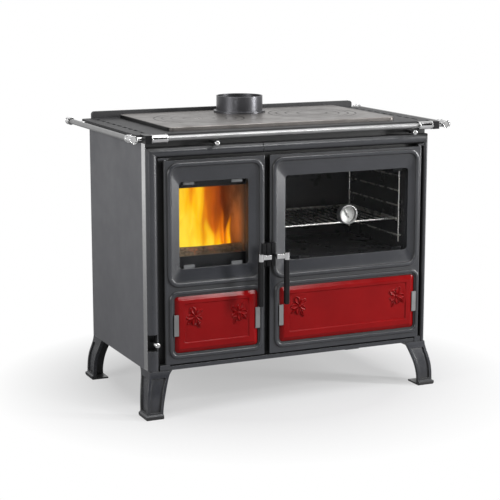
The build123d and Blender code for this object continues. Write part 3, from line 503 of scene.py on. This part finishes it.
def full_turn(count):
    """Angles evenly spaced round a full turn."""
    return np.linspace(0, 2 * np.pi, count, endpoint=False)


def eased(share):
    """A share from 0 to 1 that starts and ends level: three times its square less twice its cube."""
    return share * share * (3 - 2 * share)


def grid_faces(rows, columns, wrap_rows=False, wrap_columns=False):
    """The corner numbers of the quads of a grid, row by row, joined end to end where it wraps."""
    i, j = np.meshgrid(
        np.arange(rows if wrap_rows else rows - 1),
        np.arange(columns if wrap_columns else columns - 1),
        indexing="ij",
    )
    next_i = (i + 1) % rows
    next_j = (j + 1) % columns
    corners = (i * columns + j, next_i * columns + j, next_i * columns + next_j, i * columns + next_j)
    return np.stack(corners, -1).reshape(-1, 4).tolist()


def grid_rim(rows, columns):
    """The corner numbers round the border of a grid, in order."""
    number = np.arange(rows * columns).reshape(rows, columns)
    return np.concatenate([number[:, 0], number[-1, 1:], number[-2::-1, -1], number[0, -2:0:-1]])


def closed_ends(rows, columns):
    """Faces of a tube of rows rings, with one flat face over the first ring and one over the last."""
    first = list(range(columns))
    last = list(range((rows - 1) * columns, rows * columns))
    return grid_faces(rows, columns, wrap_columns=True) + [first, last]


def repeated(faces, corners, copies):
    """The faces of copies of one shape that follow each other, each with the given number of corners."""
    return [[corner + copy * corners for corner in face] for copy in range(copies) for face in faces]


def place_object(name, data):
    """An object with the given data, linked to the scene."""
    item = bpy.data.objects.new(name, data)
    bpy.context.scene.collection.objects.link(item)
    return item


def make_piece(name, points, faces, body, finish, slot=None, sharp=35.0, **attributes):
    """Puts arrays into a mesh, turns its faces outwards, shades it smooth up to an angle in degrees, and
    rides it on a body."""
    mesh = bpy.data.meshes.new(name)
    mesh.from_pydata(np.reshape(points, (-1, 3)).tolist(), [], faces)
    for key, values in attributes.items():
        layer = mesh.attributes.new(key, "FLOAT", "POINT")
        layer.data.foreach_set("value", np.ravel(values).astype(np.float32))
    work = bmesh.new()
    work.from_mesh(mesh)
    bmesh.ops.recalc_face_normals(work, faces=work.faces)
    work.to_mesh(mesh)
    work.free()
    mesh.polygons.foreach_set("use_smooth", np.ones(len(mesh.polygons), bool))
    mesh.set_sharp_from_angle(angle=math.radians(sharp))
    mesh.materials.append(finishes[finish])
    piece = place_object(name, mesh)
    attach(piece, body)
    return piece


def lumps(points, size, seed):
    """Smooth unevenness from -1 to 1: the mean of sine waves of one wavelength in seeded directions."""
    count = 9
    rng = np.random.default_rng(seed)
    waves = rng.normal(size=(count, points.shape[-1]))
    waves *= 2 * np.pi / size / np.linalg.norm(waves, axis=1, keepdims=True)
    return np.sin(points @ waves.T + rng.uniform(0, 2 * np.pi, count)).mean(-1)


def rounded_outline(low_x, high_x, low_z, high_z, corner, steps):
    """Points round a rectangle with quarter-circle corners, evenly spaced by their distance along it."""
    corner_points = 17
    quarter = np.linspace(0, np.pi / 2, corner_points)
    centres = (
        (high_x - corner, high_z - corner), (low_x + corner, high_z - corner),
        (low_x + corner, low_z + corner), (high_x - corner, low_z + corner),
    )
    arcs = []
    for turn, (x, z) in enumerate(centres):
        angle = quarter + turn * np.pi / 2
        arcs.append(np.stack([x + corner * np.cos(angle), z + corner * np.sin(angle)], 1))
    outline = np.concatenate(arcs + [arcs[0][:1]])
    along = np.concatenate([[0], np.cumsum(np.linalg.norm(np.diff(outline, axis=0), axis=1))])
    places = np.linspace(0, along[-1], steps, endpoint=False)
    points = [np.interp(places, along, outline[:, 0]), np.interp(places, along, outline[:, 1])]
    return np.stack(points, 1), places


# Enamelled plates

plate_corner = 10 * mm
plate_bevel = 13 * mm
plate_bevel_drop = 6.6 * mm
bevel_roundness = 0.65
bevel_lines = np.array([0, 0.3, 0.8, 1.5, 2.4, 3.5, 4.8, 6.2, 7.7, 9.3]) * mm
field_spacing = 1.25 * mm
panel_inset = 28 * mm
panel_top_inset = 21 * mm
panel_sink = 2.9 * mm
panel_step = 2.4 * mm
panel_soft_step = 14 * mm
ornament_inset = 64 * mm
ornament_drop = 62 * mm
ornament_reach = 30 * mm
ornament_blend = 16 * mm
petal_rise = 4.6 * mm
petal_lean = 1.25
petal_rim = 0.62
petal_rim_width = 0.26
petal_hollow = 0.30
petal_fall = 0.35
petal_ends = 0.12
boss_radius = 4.5 * mm
boss_height = 0.9
tiny = 1e-6
sprig = (
    # direction in degrees, length and half-width of each petal and leaf
    (112, 33 * mm, 11.0 * mm), (40, 30 * mm, 10.5 * mm), (328, 26 * mm, 9.0 * mm),
    (184, 31 * mm, 10.5 * mm), (256, 29 * mm, 9.5 * mm), (292, 40 * mm, 4.5 * mm),
    (220, 38 * mm, 4.0 * mm),
)


def plate_lines(half):
    """Grid lines across a plate: close together over the bevel, even over the field."""
    edge = half - bevel_lines
    field = np.linspace(-edge[-1], edge[-1], int(2 * edge[-1] / field_spacing))
    return np.concatenate([-edge[:-1], field, edge[-2::-1]])


def petal(x, z, degrees, length, width):
    """Height of one raised petal, from 0 to 1. Along it the half-width is a sine arch that leans to the
    tip; across it a rounded rim stands near the outline round a lower, hollowed middle."""
    angle = math.radians(degrees)
    along = (x * math.cos(angle) + z * math.sin(angle)) / length
    aside = -x * math.sin(angle) + z * math.cos(angle)
    inside = (along > 0) & (along < 1)
    half = width * np.sin(np.pi * np.clip(along, tiny, 1 - tiny) ** petal_lean)
    share = np.abs(aside) / np.maximum(half, tiny)
    rim = np.exp(-((share - petal_rim) / petal_rim_width) ** 2)
    falls = eased(np.clip((1 - share) / petal_fall, 0, 1))
    ends = np.clip(along / petal_ends, 0, 1) * np.clip((1 - along) / petal_ends, 0, 1)
    height = (petal_hollow + (1 - petal_hollow) * rim) * falls * ends
    return np.where(inside & (share < 1), height, 0)


def enamel_plate(name, node, body):
    """An enamelled casting as a height over a flat grid: a bevelled border, a sunk field with a rounded
    step, and a petal sprig at each upper corner. The square corners of the grid are pressed into quarter
    circles, and the field's step is softer near a sprig."""
    low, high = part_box(node)
    half_x = (high.x - low.x) / 2
    half_z = (high.z - low.z) / 2
    grid_x, grid_z = np.meshgrid(plate_lines(half_x), plate_lines(half_z), indexing="ij")
    straight_x = half_x - plate_corner
    straight_z = half_z - plate_corner
    a = np.clip((np.abs(grid_x) - straight_x) / plate_corner, 0, 1)
    b = np.clip((np.abs(grid_z) - straight_z) / plate_corner, 0, 1)
    reach_x = np.minimum(np.abs(grid_x), straight_x) + plate_corner * a * np.sqrt(1 - b * b / 2)
    reach_z = np.minimum(np.abs(grid_z), straight_z) + plate_corner * b * np.sqrt(1 - a * a / 2)
    x = np.sign(grid_x) * reach_x
    z = np.sign(grid_z) * reach_z
    in_corner = plate_corner - np.hypot(reach_x - straight_x, reach_z - straight_z)
    in_straight = np.minimum(half_x - reach_x, half_z - reach_z)
    inside = np.where((a > 0) & (b > 0), in_corner, in_straight)
    bevel = np.clip(inside / plate_bevel, 0, 1)
    height = -plate_bevel_drop * (1 - bevel) * (1 - bevel_roundness * bevel ** 4)

    to_side = half_x - panel_inset - np.abs(x)
    to_end = np.where(z > 0, half_z - panel_top_inset - z, half_z - panel_inset + z)
    to_edge = np.minimum(to_side, to_end)
    step = eased(np.clip(to_edge / panel_step, 0, 1))
    soft_step = eased(np.clip(to_edge / panel_soft_step, 0, 1))
    sprig_x = half_x - ornament_inset
    sprig_z = half_z - ornament_drop
    from_sprig = np.hypot(np.abs(x) - sprig_x, z - sprig_z)
    clear = np.clip((from_sprig - ornament_reach) / ornament_blend, 0, 1)
    height -= panel_sink * (clear * step + (1 - clear) * soft_step)

    relief = np.zeros_like(x)
    local_z = z - sprig_z
    for side in (-1, 1):
        local_x = -side * (x - side * sprig_x)
        for degrees, length, width in sprig:
            relief = np.maximum(relief, petal(local_x, local_z, degrees, length, width))
        boss = np.hypot(local_x, local_z) / boss_radius
        relief = np.maximum(relief, boss_height * np.sqrt(np.clip(1 - boss ** 2, 0, 1)))
    height += petal_rise * relief

    front = np.stack([x + (low.x + high.x) / 2, low.y - height, z + (low.z + high.z) / 2], -1)
    rows, columns = x.shape
    rim = grid_rim(rows, columns)
    back = front.reshape(-1, 3)[rim].copy()
    back[:, 1] = high.y
    back_number = rows * columns + np.arange(len(rim))
    skirt = np.stack([rim, np.roll(rim, -1), np.roll(back_number, -1), back_number], 1).tolist()
    points = np.concatenate([front.reshape(-1, 3), back])
    faces = grid_faces(rows, columns) + skirt + [back_number.tolist()]
    piece = make_piece(name, points, faces, body, "red_enamel", "red_enamel")
    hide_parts(node)
    return piece


enamel_plate("firebox_enamel_plate", "firebox_red_plate", "firebox_door")
enamel_plate("oven_enamel_plate", "oven_red_plate", "oven_door")


# Rope seals

strand_count = 5
strand_pitch = 16 * mm
strand_relief = 0.20
seal_sides = 20
seal_step = 2.2 * mm


def rope_seal(name, node, body):
    """A braided rope carried round the seal's rounded rectangle. The radius at each angle is the greater of
    two families of rounded strands, one winding to the left along the rope and one to the right."""
    low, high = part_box(node)
    half = (high.y - low.y) / 2
    corner = 2 * half
    length = 2 * (high.x - low.x + high.z - low.z)
    path, along = rounded_outline(
        low.x + half, high.x - half, low.z + half, high.z - half, corner, int(length / seal_step)
    )
    turns = round(along[-1] / strand_pitch)
    wind = 2 * np.pi * turns * along / (along[-1] + along[1])
    around = full_turn(seal_sides)
    left = np.abs(np.sin((strand_count * around[None] + 2 * wind[:, None]) / 2))
    right = np.abs(np.sin((strand_count * around[None] - 2 * wind[:, None]) / 2))
    strand = np.maximum(left, right)
    radius = half * (1 - strand_relief + strand_relief * strand)
    step = np.roll(path, -1, axis=0) - np.roll(path, 1, axis=0)
    step /= np.linalg.norm(step, axis=1, keepdims=True)
    outward = np.stack([step[:, 1], -step[:, 0]], 1)
    off = radius * np.cos(around)
    points = np.stack([
        path[:, :1] + outward[:, :1] * off,
        (low.y + high.y) / 2 + radius * np.sin(around),
        path[:, 1:] + outward[:, 1:] * off,
    ], -1)
    faces = grid_faces(len(path), seal_sides, wrap_rows=True, wrap_columns=True)
    piece = make_piece(name, points, faces, body, "seal_rope", "seal_rope", sharp=180.0, strand=strand)
    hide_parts(node)
    return piece


rope_seal("firebox_rope_seal", "firebox_seal", "firebox_door")
rope_seal("oven_rope_seal", "oven_seal", "oven_door")


# Fire

brick_wall = 25 * mm
grate_low, grate_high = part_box("fire_grate")
bricks_low, bricks_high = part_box("firebox_bricks")
fire_left = bricks_low.x + brick_wall
fire_right = bricks_high.x - brick_wall
log_low = grate_high.z + 10 * mm
flame_low = grate_high.z + 8 * mm
first_flame_seed = 40


def split_log(name, start, end, radius, roll, seed):
    """A split log between two points. Round it the radius is the least of a bark circle and two flat split
    faces; fibres ripple it along its length, and it ends in slightly uneven sawn faces."""
    stations = 46
    sides = 56
    twist = 0.10
    first_split = 0.52
    second_split = 0.60
    between_splits = 2.0
    least_cosine = 0.15
    crispness = 14
    fibre_height = 0.045
    swell_height = 0.05
    sawn_height = 0.010
    start = np.array(start)
    end = np.array(end)
    axis = (end - start) / np.linalg.norm(end - start)
    side = np.cross(axis, (0, 0, 1))
    side /= np.linalg.norm(side)
    upward = np.cross(side, axis)
    along = np.linspace(0, 1, stations)[:, None]
    angle = full_turn(sides)[None]
    turned = angle + math.radians(roll) + twist * np.sin(3 * along)
    first_face = first_split / np.maximum(np.cos(turned), least_cosine)
    second_face = second_split / np.maximum(np.cos(turned - between_splits), least_cosine)
    nearness = np.exp(-crispness * first_face) + np.exp(-crispness * second_face) + math.exp(-crispness)
    around = np.stack(np.broadcast_arrays(3 * np.cos(angle), 3 * np.sin(angle), 1.1 * along), -1)
    fibres = fibre_height * lumps(around, 0.55, seed)
    swells = swell_height * lumps(around, 1.9, seed + 1)
    size = radius * (-np.log(nearness) / crispness + fibres + swells)
    rim = np.concatenate([np.cos(angle), np.sin(angle)]).T
    sawn = sawn_height * lumps(rim, 1.3, seed + 2)[None]
    points = start + (along + sawn)[..., None] * (end - start)
    points = points + (size * np.cos(angle))[..., None] * side + (size * np.sin(angle))[..., None] * upward
    return make_piece(name, points, closed_ends(stations, sides), "stove", "burning_wood", sharp=50.0)


def ember_bed():
    """A low heap of embers on the grate: a mound with steep sides, the product of a sine arch across and
    one inward, each to a small power, with lumps of two sizes, over a flat underside."""
    rows = 90
    columns = 120
    margin = 3 * mm
    lift = 0.2 * mm
    depth = 16 * mm
    coal_height = 14 * mm
    coal_size = 22 * mm
    cinder_height = 3 * mm
    cinder_size = 9 * mm
    steepness = 0.35
    x, y = np.meshgrid(
        np.linspace(grate_low.x + margin, grate_high.x - margin, rows),
        np.linspace(grate_low.y + margin, grate_high.y - margin, columns),
        indexing="ij",
    )
    fall_x = np.sin(np.linspace(0, np.pi, rows))[:, None] ** steepness
    fall_y = np.sin(np.linspace(0, np.pi, columns))[None] ** steepness
    flat = np.stack([x, y], -1)
    coals = coal_height * np.abs(lumps(flat, coal_size, seed=3))
    cinders = cinder_height * lumps(flat, cinder_size, seed=4)
    height = depth + coals + cinders
    points = np.stack([x, y, grate_high.z + lift + fall_x * fall_y * height], -1)
    faces = grid_faces(rows, columns) + [grid_rim(rows, columns).tolist()]
    return make_piece("ember_bed", points, faces, "stove", "ember_glow", sharp=60.0)


def flame_tongue(name, x, y, height, width, lean, fuel, seed):
    """One tongue of flame as a closed form: rings from base to tip whose width swells and then draws out to
    a point, flattened front to back, with a centre line that leans and sways more the higher it is."""
    rings = 44
    sides = 28
    base_power = 0.42
    tip_power = 0.75
    fullness = 1.55
    slow_sway = 0.30
    quick_sway = 0.14
    ripple = 0.16
    flatness = 0.34
    rng = np.random.default_rng(seed)
    rise = np.linspace(0.004, 0.996, rings)[:, None]
    angle = full_turn(sides)[None]
    swell = fullness * rise ** base_power * (1 - rise) ** tip_power
    phase = rng.uniform(0, 2 * np.pi, 3)
    sway = slow_sway * np.sin(5.0 * rise + phase[0]) + quick_sway * np.sin(11.0 * rise + phase[1])
    sway = rise * width * sway
    edge = 1 + ripple * np.sin(3 * angle + 7 * rise + phase[2]) * rise
    half = width * swell * edge
    points = np.stack([
        x + lean * rise ** 1.3 + sway + half * np.cos(angle),
        y + 0.25 * sway + flatness * half * np.sin(angle),
        np.broadcast_to(flame_low + height * rise, half.shape),
    ], -1)
    across = np.broadcast_to(np.abs(np.cos(angle)), half.shape)
    return make_piece(
        name, points, closed_ends(rings, sides), "stove", "flame_glow", sharp=180.0,
        rise=np.broadcast_to(rise, half.shape), across=across, fuel=np.full(half.shape, fuel),
    )


split_log(
    "log_front", (fire_left + 16 * mm, grate_low.y + 34 * mm, log_low + 32 * mm),
    (fire_right - 4 * mm, grate_low.y + 42 * mm, log_low + 30 * mm), radius=45 * mm, roll=250, seed=11,
)
split_log(
    "log_back", (fire_left + 30 * mm, grate_low.y + 150 * mm, log_low + 28 * mm),
    (fire_right - 34 * mm, grate_low.y + 126 * mm, log_low + 30 * mm), radius=46 * mm, roll=200, seed=21,
)
ember_bed()
tongues = (
    # in mm: place across and into the bricks from their front left corner, height, half-width, lean; heat
    (60, 84, 306, 44, 8, 1.22), (92, 104, 306, 46, 8, 1.24), (118, 126, 350, 46, 6, 1.14),
    (146, 112, 350, 46, 10, 1.08), (172, 132, 345, 44, 6, 0.98), (198, 116, 320, 38, -4, 0.72),
    (218, 150, 310, 34, 6, 0.54), (230, 92, 190, 24, -4, 0.84), (247, 74, 156, 18, 3, 0.80),
    (98, 74, 176, 40, 6, 1.26), (140, 72, 160, 38, -6, 1.20), (180, 74, 150, 36, 6, 1.08),
    (212, 70, 132, 28, -4, 0.96), (160, 226, 292, 84, 0, 0.66), (205, 250, 300, 84, 0, 0.46),
    (226, 190, 360, 74, 0, 0.46), (188, 170, 370, 70, 6, 0.60), (206, 106, 360, 56, 4, 0.46),
)
for index, (across, inward, height, width, lean, fuel) in enumerate(tongues):
    flame_tongue(
        f"flame_{index + 1:02d}", bricks_low.x + across * mm, bricks_low.y + inward * mm,
        height * mm, width * mm, lean * mm, fuel, first_flame_seed + index,
    )


# Thermometer

dial_low, dial_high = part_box("thermometer_dial")
case_low, case_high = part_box("thermometer_case")
dial_x = (case_low.x + case_high.x) / 2
dial_z = (case_low.z + case_high.z) / 2
dial_thickness = 2 * mm
dial_face = dial_high.y - dial_thickness
dial_radius = (dial_high.x - dial_low.x) / 2


def dial_marks():
    """Printed marks as bars 0.1 mm thick just off the dial, over 270 degrees. Every fifth is a main mark,
    which is longer and wider."""
    count = 31
    first_angle = 225
    last_angle = -45
    turn = np.radians(np.linspace(first_angle, last_angle, count))
    main = np.arange(count) % 5 == 0
    inner = np.where(main, 0.72, 0.80) * dial_radius
    outer = np.full(count, 0.90 * dial_radius)
    half = np.where(main, 0.42, 0.22) * mm
    radial = np.stack([np.cos(turn), np.zeros(count), np.sin(turn)], -1)
    aside = np.stack([-np.sin(turn), np.zeros(count), np.cos(turn)], -1)
    corners = []
    for lift in (0.02 * mm, 0.12 * mm):
        middle = np.array([dial_x, dial_face - lift, dial_z])
        for reach, sign in ((inner, -1), (inner, 1), (outer, 1), (outer, -1)):
            corners.append(middle + radial * reach[:, None] + aside * (sign * half)[:, None])
    box_faces = ((0, 1, 2, 3), (4, 7, 6, 5), (0, 4, 5, 1), (1, 5, 6, 2), (2, 6, 7, 3), (3, 7, 4, 0))
    faces = repeated(box_faces, len(corners), count)
    points = np.stack(corners, 1)
    return make_piece("dial_marks", points, faces, "oven_door", "needle_black", "needle_black")


def dial_lens():
    """A shallow dome of glass over the dial: rings from the middle out, whose height falls with the square
    of their radius, with a like surface behind."""
    rings = 14
    sides = 64
    clearance = 0.1 * mm
    set_back = 2.2 * mm
    rise = 1.4 * mm
    thickness = 0.8 * mm
    reach = np.linspace(0.02, 1.0, rings)[:, None] * (dial_radius - clearance)
    angle = full_turn(sides)[None]
    dome = rise * (1 - (reach / dial_radius) ** 2)
    outer = np.stack([
        dial_x + reach * np.cos(angle),
        np.broadcast_to(case_low.y + set_back - dome, (rings, sides)),
        dial_z + reach * np.sin(angle),
    ], -1)
    inner = outer[::-1].copy()
    inner[..., 1] += thickness
    points = np.concatenate([outer, inner])
    faces = closed_ends(2 * rings, sides)
    return make_piece("dial_lens", points, faces, "oven_door", "lens_glass", sharp=60.0)


dial_marks()
dial_lens()


# Turned rings on the rail ends

rail_radius = 8 * mm
cap_radius = 11 * mm
ferrule_radius = 12.5 * mm
bead_radius = 1.1 * mm
ring_sides = 40
bead_sides = 12


def ring(centre, axis, radius):
    """Points of a ring: a small circle carried round a larger one about the given axis, X or Y."""
    turn = full_turn(ring_sides)[:, None]
    bead = full_turn(bead_sides)[None]
    reach = radius + bead_radius * np.cos(bead)
    along = np.broadcast_to(bead_radius * np.sin(bead), (ring_sides, bead_sides))
    first = reach * np.cos(turn)
    second = reach * np.sin(turn)
    shape = (along, first, second) if axis == "X" else (first, along, second)
    return np.array(centre) + np.stack(shape, -1)


def rail_rings():
    """Rounded beads at the ends of the turned rail caps and ferrules, all in one mesh."""
    low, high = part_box("rail_caps")
    rails_low, rails_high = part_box("rails")
    rail_z = (low.z + high.z) / 2
    front_y = rails_low.y + rail_radius
    side_x = rails_high.x - rail_radius
    cap_ends = (low.y + 8.5 * mm, low.y + 44 * mm, high.y - 25 * mm, high.y - 4 * mm)
    ferrule_ends = (417 * mm, 461 * mm)
    rings = []
    for side in (-1, 1):
        rings += [ring((side * side_x, y, rail_z), "Y", cap_radius) for y in cap_ends]
        rings += [ring((side * x, front_y, rail_z), "X", ferrule_radius) for x in ferrule_ends]
    one = grid_faces(ring_sides, bead_sides, wrap_rows=True, wrap_columns=True)
    faces = repeated(one, ring_sides * bead_sides, len(rings))
    return make_piece("rail_rings", np.stack(rings), faces, "stove", "chrome", "chrome", sharp=180.0)


rail_rings()


# Bright trim on the outer side of the left column

def column_trim():
    """A thin strip carried up the column: its outline is a flat bar whose outer corners are rounded by a
    steep sine, and its ends are closed."""
    low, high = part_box("column_left")
    stations = 40
    front = low.y + 15 * mm
    rear = high.y - 1 * mm
    end_gap = 2 * mm
    thick = 0.7 * mm
    sunk = 0.2 * mm
    edge = 3 * mm
    outline_points = 25
    steepness = 3
    turn = np.linspace(0, np.pi, outline_points)
    x = low.x + sunk - (thick + sunk) * np.minimum(1, steepness * np.sin(turn))
    y = np.where(turn < np.pi / 2, front + edge, rear - edge) - edge * np.cos(turn)
    z = np.linspace(low.z + end_gap, high.z - end_gap, stations)[:, None]
    points = np.stack(np.broadcast_arrays(x, y, z), -1)
    faces = closed_ends(stations, outline_points)
    return make_piece("column_trim", points, faces, "stove", "chrome", "chrome")


column_trim()


# Screws of the rear panel

def panel_screws():
    """Pan-head screws: a lathe profile turned about the screw's axis, repeated round the panel's edge."""
    low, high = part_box("rear_panel")
    inset = 14 * mm
    count_across = 7
    count_upward = 5
    sides = 16
    profile = np.array([[0.4, 2.4], [2.4, 2.2], [3.9, 1.5], [4.5, 0.6], [4.6, 0.0]]) * mm
    turn = full_turn(sides)
    one = np.stack([
        profile[:, :1] * np.cos(turn),
        np.broadcast_to(profile[:, 1:], (len(profile), sides)),
        profile[:, :1] * np.sin(turn),
    ], -1)
    across = np.linspace(low.x + inset, high.x - inset, count_across)
    upward = np.linspace(low.z + inset, high.z - inset, count_upward)
    x, y, z = np.meshgrid(across, high.y, upward, indexing="ij")
    middles = np.stack([x, y, z], -1).reshape(-1, 3)[grid_rim(count_across, count_upward)]
    faces = repeated(closed_ends(len(profile), sides), len(profile) * sides, len(middles))
    points = middles[:, None, None] + one[None]
    return make_piece("rear_screws", points, faces, "stove", "chrome", "chrome", sharp=40.0)


panel_screws()


# Floor, light and camera

def studio_floor():
    """A pale floor that fades into the white background with distance, and keeps the stove's shadow."""
    reach = 40.0
    fade_start = 0.45
    fade_end = 0.86
    least_white = 0.46
    mirror_start = 1.2
    mirror_end = 4.5
    f = Finish("studio_floor")
    path = f.add("ShaderNodeLightPath")
    seen = f.sums("MAXIMUM", path.outputs["Is Camera Ray"], path.outputs["Is Transmission Ray"])
    length = f.add("ShaderNodeVectorMath", Vector=f.place)
    length.operation = "LENGTH"
    far = f.span(length.outputs["Value"], fade_start, fade_end, least_white, 1.0)
    mirrored = f.span(length.outputs["Value"], mirror_start, mirror_end)
    in_metal = f.sums("MULTIPLY", mirrored, path.outputs["Is Glossy Ray"])
    share = f.sums("MAXIMUM", f.sums("MULTIPLY", far, seen), in_metal)
    pale = f.add("ShaderNodeBsdfDiffuse", Color=(0.38, 0.38, 0.385, 1.0))
    background = f.add("ShaderNodeEmission", Color=white, Strength=1.0)
    f.blend(share, pale.outputs["BSDF"], background.outputs["Emission"])
    mesh = bpy.data.meshes.new("floor")
    corners = [(-reach, -reach, 0), (reach, -reach, 0), (reach, reach, 0), (-reach, reach, 0)]
    mesh.from_pydata(corners, [], [(0, 1, 2, 3)])
    mesh.materials.append(f.material)
    floor = place_object("floor", mesh)


def studio_world():
    """A white surround for what the camera, metal and glass see, and a plain level of even light for all
    else."""
    even_light = 0.08
    world = bpy.data.worlds.new("studio")
    bpy.context.scene.world = world
    world.use_nodes = True
    tree = world.node_tree
    tree.nodes.clear()
    path = tree.nodes.new("ShaderNodeLightPath")
    seen = path.outputs["Is Camera Ray"]
    for ray in ("Is Glossy Ray", "Is Transmission Ray"):
        either = tree.nodes.new("ShaderNodeMath")
        either.operation = "MAXIMUM"
        tree.links.new(seen, either.inputs[0])
        tree.links.new(path.outputs[ray], either.inputs[1])
        seen = either.outputs["Value"]
    both = tree.nodes.new("ShaderNodeMixShader")
    tree.links.new(seen, both.inputs["Fac"])
    for index, strength in ((1, even_light), (2, 1.0)):
        level = tree.nodes.new("ShaderNodeBackground")
        level.inputs["Color"].default_value = white
        level.inputs["Strength"].default_value = strength
        tree.links.new(level.outputs["Background"], both.inputs[index])
    output = tree.nodes.new("ShaderNodeOutputWorld")
    tree.links.new(both.outputs["Shader"], output.inputs["Surface"])


def dark_card():
    """Dark cards that only reflections show: one upright behind the camera, and one level and overhead that
    runs from its top towards the stove."""
    f = Finish("dark_card")
    shade = f.add("ShaderNodeBsdfDiffuse", Color=(0.03, 0.03, 0.033, 1.0))
    f.end(shade.outputs["BSDF"])
    aside = 9.0
    behind = -9.0
    low = 0.4
    high = 5.0
    inner = -1.5
    upright = [(-aside, behind, low), (aside, behind, low), (aside, behind, high), (-aside, behind, high)]
    overhead = [(-aside, inner, high), (aside, inner, high)]
    mesh = bpy.data.meshes.new("dark_card")
    mesh.from_pydata(upright + overhead, [], [(0, 1, 2, 3), (3, 2, 5, 4)])
    mesh.materials.append(f.material)
    card = place_object("dark_card", mesh)
    card.visible_camera = False
    card.visible_diffuse = False
    card.visible_shadow = False
    card.visible_transmission = False


def soft_lamp(name, place, aim, wide, tall, watts):
    """A soft lamp with a rectangular face at a place, turned to face the aim."""
    data = bpy.data.lights.new(name, "AREA")
    data.shape = "RECTANGLE"
    data.size = wide
    data.size_y = tall
    data.energy = watts
    lamp = place_object(name, data)
    lamp.location = place
    x, y, z = np.array(aim) - np.array(place)
    lamp.rotation_euler = (math.pi / 2 + math.atan2(z, math.hypot(x, y)), 0, math.atan2(-x, y))


def fire_lamp():
    """The light that the flames throw on the bricks round them."""
    data = bpy.data.lights.new("fire_lamp", "POINT")
    data.color = (1.0, 0.36, 0.05)
    data.energy = 0.30
    data.shadow_soft_size = 0.05
    lamp = place_object("fire_lamp", data)
    lamp.location = (fire_right - 60 * mm, bricks_low.y + 80 * mm, grate_high.z + 120 * mm)
    lamp.visible_camera = False
    lamp.visible_glossy = False
    lamp.visible_transmission = False


def photo_camera():
    """Stands where the photo was taken from, as fitted to the stove's edges: so many degrees round to the
    left of straight in front, and looking so many degrees down."""
    degrees_round = 24.548
    degrees_down = 10.808
    data = bpy.data.cameras.new("camera")
    data.sensor_width = 36.0
    data.lens = 110.0
    camera = place_object("camera", data)
    camera.location = (-2.0039, -4.3320, 1.3354)
    camera.rotation_euler = (math.radians(90 - degrees_down), 0, math.radians(-degrees_round))
    bpy.context.scene.camera = camera


studio_floor()
studio_world()
dark_card()
soft_lamp("key_right", (3.3, -2.3, 1.30), (0, -0.25, 0.50), wide=0.42, tall=1.9, watts=225)
soft_lamp("front_high", (1.45, -3.1, 2.85), (0, -0.2, 0.6), wide=0.6, tall=0.6, watts=42)
soft_lamp("fill_left", (-3.6, -0.9, 1.7), (-0.45, 0, 0.6), wide=1.4, tall=1.4, watts=88)
soft_lamp("over_hob", (0.1, -0.9, 3.1), (0, -0.1, 0.8), wide=3.2, tall=3.0, watts=110)
soft_lamp("strip_left", (-2.5, -2.7, 1.15), (0, -0.25, 0.55), wide=0.16, tall=1.7, watts=13)
fire_lamp()
photo_camera()
bpy.context.scene.view_settings.view_transform = "Standard"
